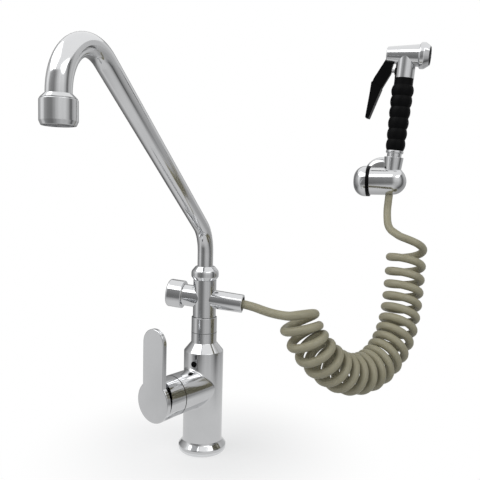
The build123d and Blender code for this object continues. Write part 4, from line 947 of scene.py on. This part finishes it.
class FAUCET_OT_stage(bpy.types.Operator):
    """Set the floor, studio light and camera."""

    bl_idname = "faucet.stage"
    bl_label = "Studio"

    def execute(self, context):
        self.floor()
        self.sky()
        for lamp in LAMPS:
            self.lamp(*lamp)
        self.cards()
        self.camera()
        return {"FINISHED"}

    def floor(self):
        """Pale floor that keeps the shadow and turns to plain white further out."""
        work = bmesh.new()
        bmesh.ops.create_circle(work, cap_ends=True, radius=FLOOR_RADIUS, segments=FLOOR_STEPS)
        bmesh.ops.translate(work, verts=work.verts, vec=FLOOR_PLACE)
        mesh = filled_mesh("studio_floor", work)
        floor = add_to_scene("studio_floor", mesh)
        material = bpy.data.materials.new("pale_floor")
        material.use_nodes = True
        tree = material.node_tree
        nodes, links = tree.nodes, tree.links
        shader = nodes["Principled BSDF"]
        shader.inputs["Base Color"].default_value = grey(FLOOR_LEVEL)
        shader.inputs["Roughness"].default_value = 0.6
        shader.inputs["Specular IOR Level"].default_value = 0.0
        glow = nodes.new("ShaderNodeEmission")
        glow.inputs["Color"].default_value = grey(1.0)
        place = nodes.new("ShaderNodeTexCoord")
        length = nodes.new("ShaderNodeVectorMath")
        length.operation = "LENGTH"
        links.new(place.outputs["Object"], length.inputs[0])
        fade = map_range(tree, length.outputs["Value"], FLOOR_FADE, FLOOR_GLOW)
        fade.interpolation_type = "SMOOTHSTEP"
        mix = nodes.new("ShaderNodeMixShader")
        links.new(fade.outputs["Result"], mix.inputs["Fac"])
        links.new(shader.outputs["BSDF"], mix.inputs[1])
        links.new(glow.outputs["Emission"], mix.inputs[2])
        links.new(mix.outputs["Shader"], nodes["Material Output"].inputs["Surface"])
        mesh.materials.append(material)
        # The white floor is for the camera and casts no light on the faucet
        floor.visible_diffuse = False

    def sky(self):
        """Soft light all round, plain white to the camera and in reflections."""
        world = bpy.data.worlds.new("studio_world")
        bpy.context.scene.world = world
        world.use_nodes = True
        tree = world.node_tree
        nodes, links = tree.nodes, tree.links
        plain = nodes["Background"]
        plain.inputs["Color"].default_value = SKY_COLOUR
        plain.inputs["Strength"].default_value = SKY_STRENGTH
        white = nodes.new("ShaderNodeBackground")
        white.inputs["Color"].default_value = grey(1.0)
        white.inputs["Strength"].default_value = 1.0
        paths = nodes.new("ShaderNodeLightPath").outputs
        seen = math_node(tree, "MAXIMUM", paths["Is Camera Ray"], paths["Is Glossy Ray"])
        clear = math_node(tree, "MAXIMUM", seen, paths["Is Transmission Ray"])
        mix = nodes.new("ShaderNodeMixShader")
        links.new(clear, mix.inputs["Fac"])
        links.new(plain.outputs["Background"], mix.inputs[1])
        links.new(white.outputs["Background"], mix.inputs[2])
        links.new(mix.outputs["Shader"], nodes["World Output"].inputs["Surface"])

    def lamp(self, name, place, aim, size, power):
        """A square lamp turned towards its aim."""
        data = bpy.data.lights.new(name, "AREA")
        data.shape = "SQUARE"
        data.size = size
        data.energy = power
        lamp = add_to_scene(name, data)
        way = Vector(aim) - Vector(place)
        turn = way.to_track_quat("-Z", "Y").to_matrix().to_4x4()
        lamp.matrix_world = Matrix.Translation(place) @ turn

    def cards(self):
        """Soft grey and white cards round the set, which only polished surfaces show."""
        work = bmesh.new()
        turns = [math.tau * step / CARD_STEPS for step in range(CARD_STEPS)]
        rows = []
        for radius, height in CARD_ROWS:
            spots = [(radius * math.cos(turn), radius * math.sin(turn), height) for turn in turns]
            rows.append([work.verts.new(spot) for spot in spots])
        for low, high in zip(rows, rows[1:]):
            for here in range(CARD_STEPS):
                ahead = (here + 1) % CARD_STEPS
                work.faces.new((low[here], low[ahead], high[ahead], high[here]))
        mesh = filled_mesh("studio_walls", work)
        walls = add_to_scene("studio_walls", mesh)
        mesh.materials.append(self.card_material())
        walls.visible_camera = False
        walls.visible_diffuse = False
        walls.visible_shadow = False
        walls.visible_transmission = False

    def card_material(self):
        """Bands of grey by plan angle, brighter with height and white near the column."""
        material = bpy.data.materials.new("studio_greys")
        material.use_nodes = True
        tree = material.node_tree
        nodes, links = tree.nodes, tree.links
        nodes.remove(nodes["Principled BSDF"])
        place = nodes.new("ShaderNodeTexCoord").outputs["Object"]
        around = nodes.new("ShaderNodeTexGradient")
        around.gradient_type = "RADIAL"
        bands = nodes.new("ShaderNodeValToRGB")
        bands.color_ramp.interpolation = "EASE"
        stops = bands.color_ramp.elements
        for index, (angle, level) in enumerate(STUDIO_BANDS):
            position = (angle + 180.0) / 360.0
            stop = stops[index] if index < 2 else stops.new(position)
            stop.position = position
            stop.color = grey(level)
        parts = nodes.new("ShaderNodeSeparateXYZ")
        flat = nodes.new("ShaderNodeVectorMath")
        flat.operation = "MULTIPLY"
        flat.inputs[1].default_value = (1.0, 1.0, 0.0)
        length = nodes.new("ShaderNodeVectorMath")
        length.operation = "LENGTH"
        pale = nodes.new("ShaderNodeMix")
        pale.data_type = "RGBA"
        pale.inputs["A"].default_value = grey(NEAR_LEVEL)
        glow = nodes.new("ShaderNodeEmission")
        links.new(place, around.inputs["Vector"])
        links.new(place, parts.inputs["Vector"])
        links.new(place, flat.inputs[0])
        links.new(flat.outputs["Vector"], length.inputs[0])
        near = map_range(tree, length.outputs["Value"], CARD_NEAR)
        rise = map_range(tree, parts.outputs["Z"], (0.0, CARD_HEIGHT), CARD_STRENGTH)
        links.new(around.outputs["Color"], bands.inputs["Fac"])
        links.new(near.outputs["Result"], pale.inputs["Factor"])
        links.new(bands.outputs["Color"], pale.inputs["B"])
        links.new(pale.outputs["Result"], glow.inputs["Color"])
        links.new(rise.outputs["Result"], glow.inputs["Strength"])
        links.new(glow.outputs["Emission"], nodes["Material Output"].inputs["Surface"])
        return material

    def camera(self):
        """Camera at the photograph's place."""
        data = bpy.data.cameras.new("photo_camera")
        data.sensor_width = 36.0
        data.lens = CAMERA_LENS
        data.clip_start = 0.01
        camera = add_to_scene("photo_camera", data)
        way = CAMERA_WAY.normalized()
        level = way.cross(UP).normalized()
        above = level.cross(way)
        right = level * math.cos(CAMERA_ROLL) + above * math.sin(CAMERA_ROLL)
        top = right.cross(way)
        turn = Matrix((right, top, -way)).transposed().to_4x4()
        camera.matrix_world = Matrix.Translation(CAMERA_PLACE) @ turn
        bpy.context.scene.camera = camera
        bpy.context.scene.view_settings.view_transform = "Standard"


class FAUCET_PT_panel(bpy.types.Panel):
    """Sizes, colours and steps of the faucet."""

    bl_idname = "FAUCET_PT_panel"
    bl_label = "Faucet"
    bl_space_type = "VIEW_3D"
    bl_region_type = "UI"
    bl_category = "Faucet"

    def draw(self, context):
        layout = self.layout
        for group in ("faucet_hose", "faucet_finish", "faucet_spray"):
            box = layout.box()
            values = getattr(context.scene, group)
            for label in values.__annotations__:
                box.prop(values, label)
        for step in STEPS:
            layout.operator(step.bl_idname)


GROUPS = {"faucet_hose": FaucetHose, "faucet_finish": FaucetFinish, "faucet_spray": FaucetSpray}
STEPS = (
    FAUCET_OT_stage,
    FAUCET_OT_finishes,
    FAUCET_OT_hose,
    FAUCET_OT_jet_rims,
    FAUCET_OT_aerator_screen,
    FAUCET_OT_screw_slot_shade,
    FAUCET_OT_painted_seam_shade,
    FAUCET_OT_valve_coil,
)


def register():
    """Add the classes and their settings."""
    for kind in (*GROUPS.values(), *STEPS, FAUCET_PT_panel):
        bpy.utils.register_class(kind)
    for label, kind in GROUPS.items():
        setattr(bpy.types.Scene, label, bpy.props.PointerProperty(type=kind))


def unregister():
    """Remove the classes and their settings."""
    for label in GROUPS:
        delattr(bpy.types.Scene, label)
    for kind in (FAUCET_PT_panel, *STEPS, *GROUPS.values()):
        bpy.utils.unregister_class(kind)


def main():
    """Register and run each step."""
    register()
    bpy.ops.faucet.stage()
    bpy.ops.faucet.finishes()
    bpy.ops.faucet.hose()
    bpy.ops.faucet.jet_rims()
    bpy.ops.faucet.aerator_screen()
    bpy.ops.faucet.screw_cross()
    bpy.ops.faucet.seam_rings()
    bpy.ops.faucet.valve_coil()


if __name__ == "__main__":
    main()
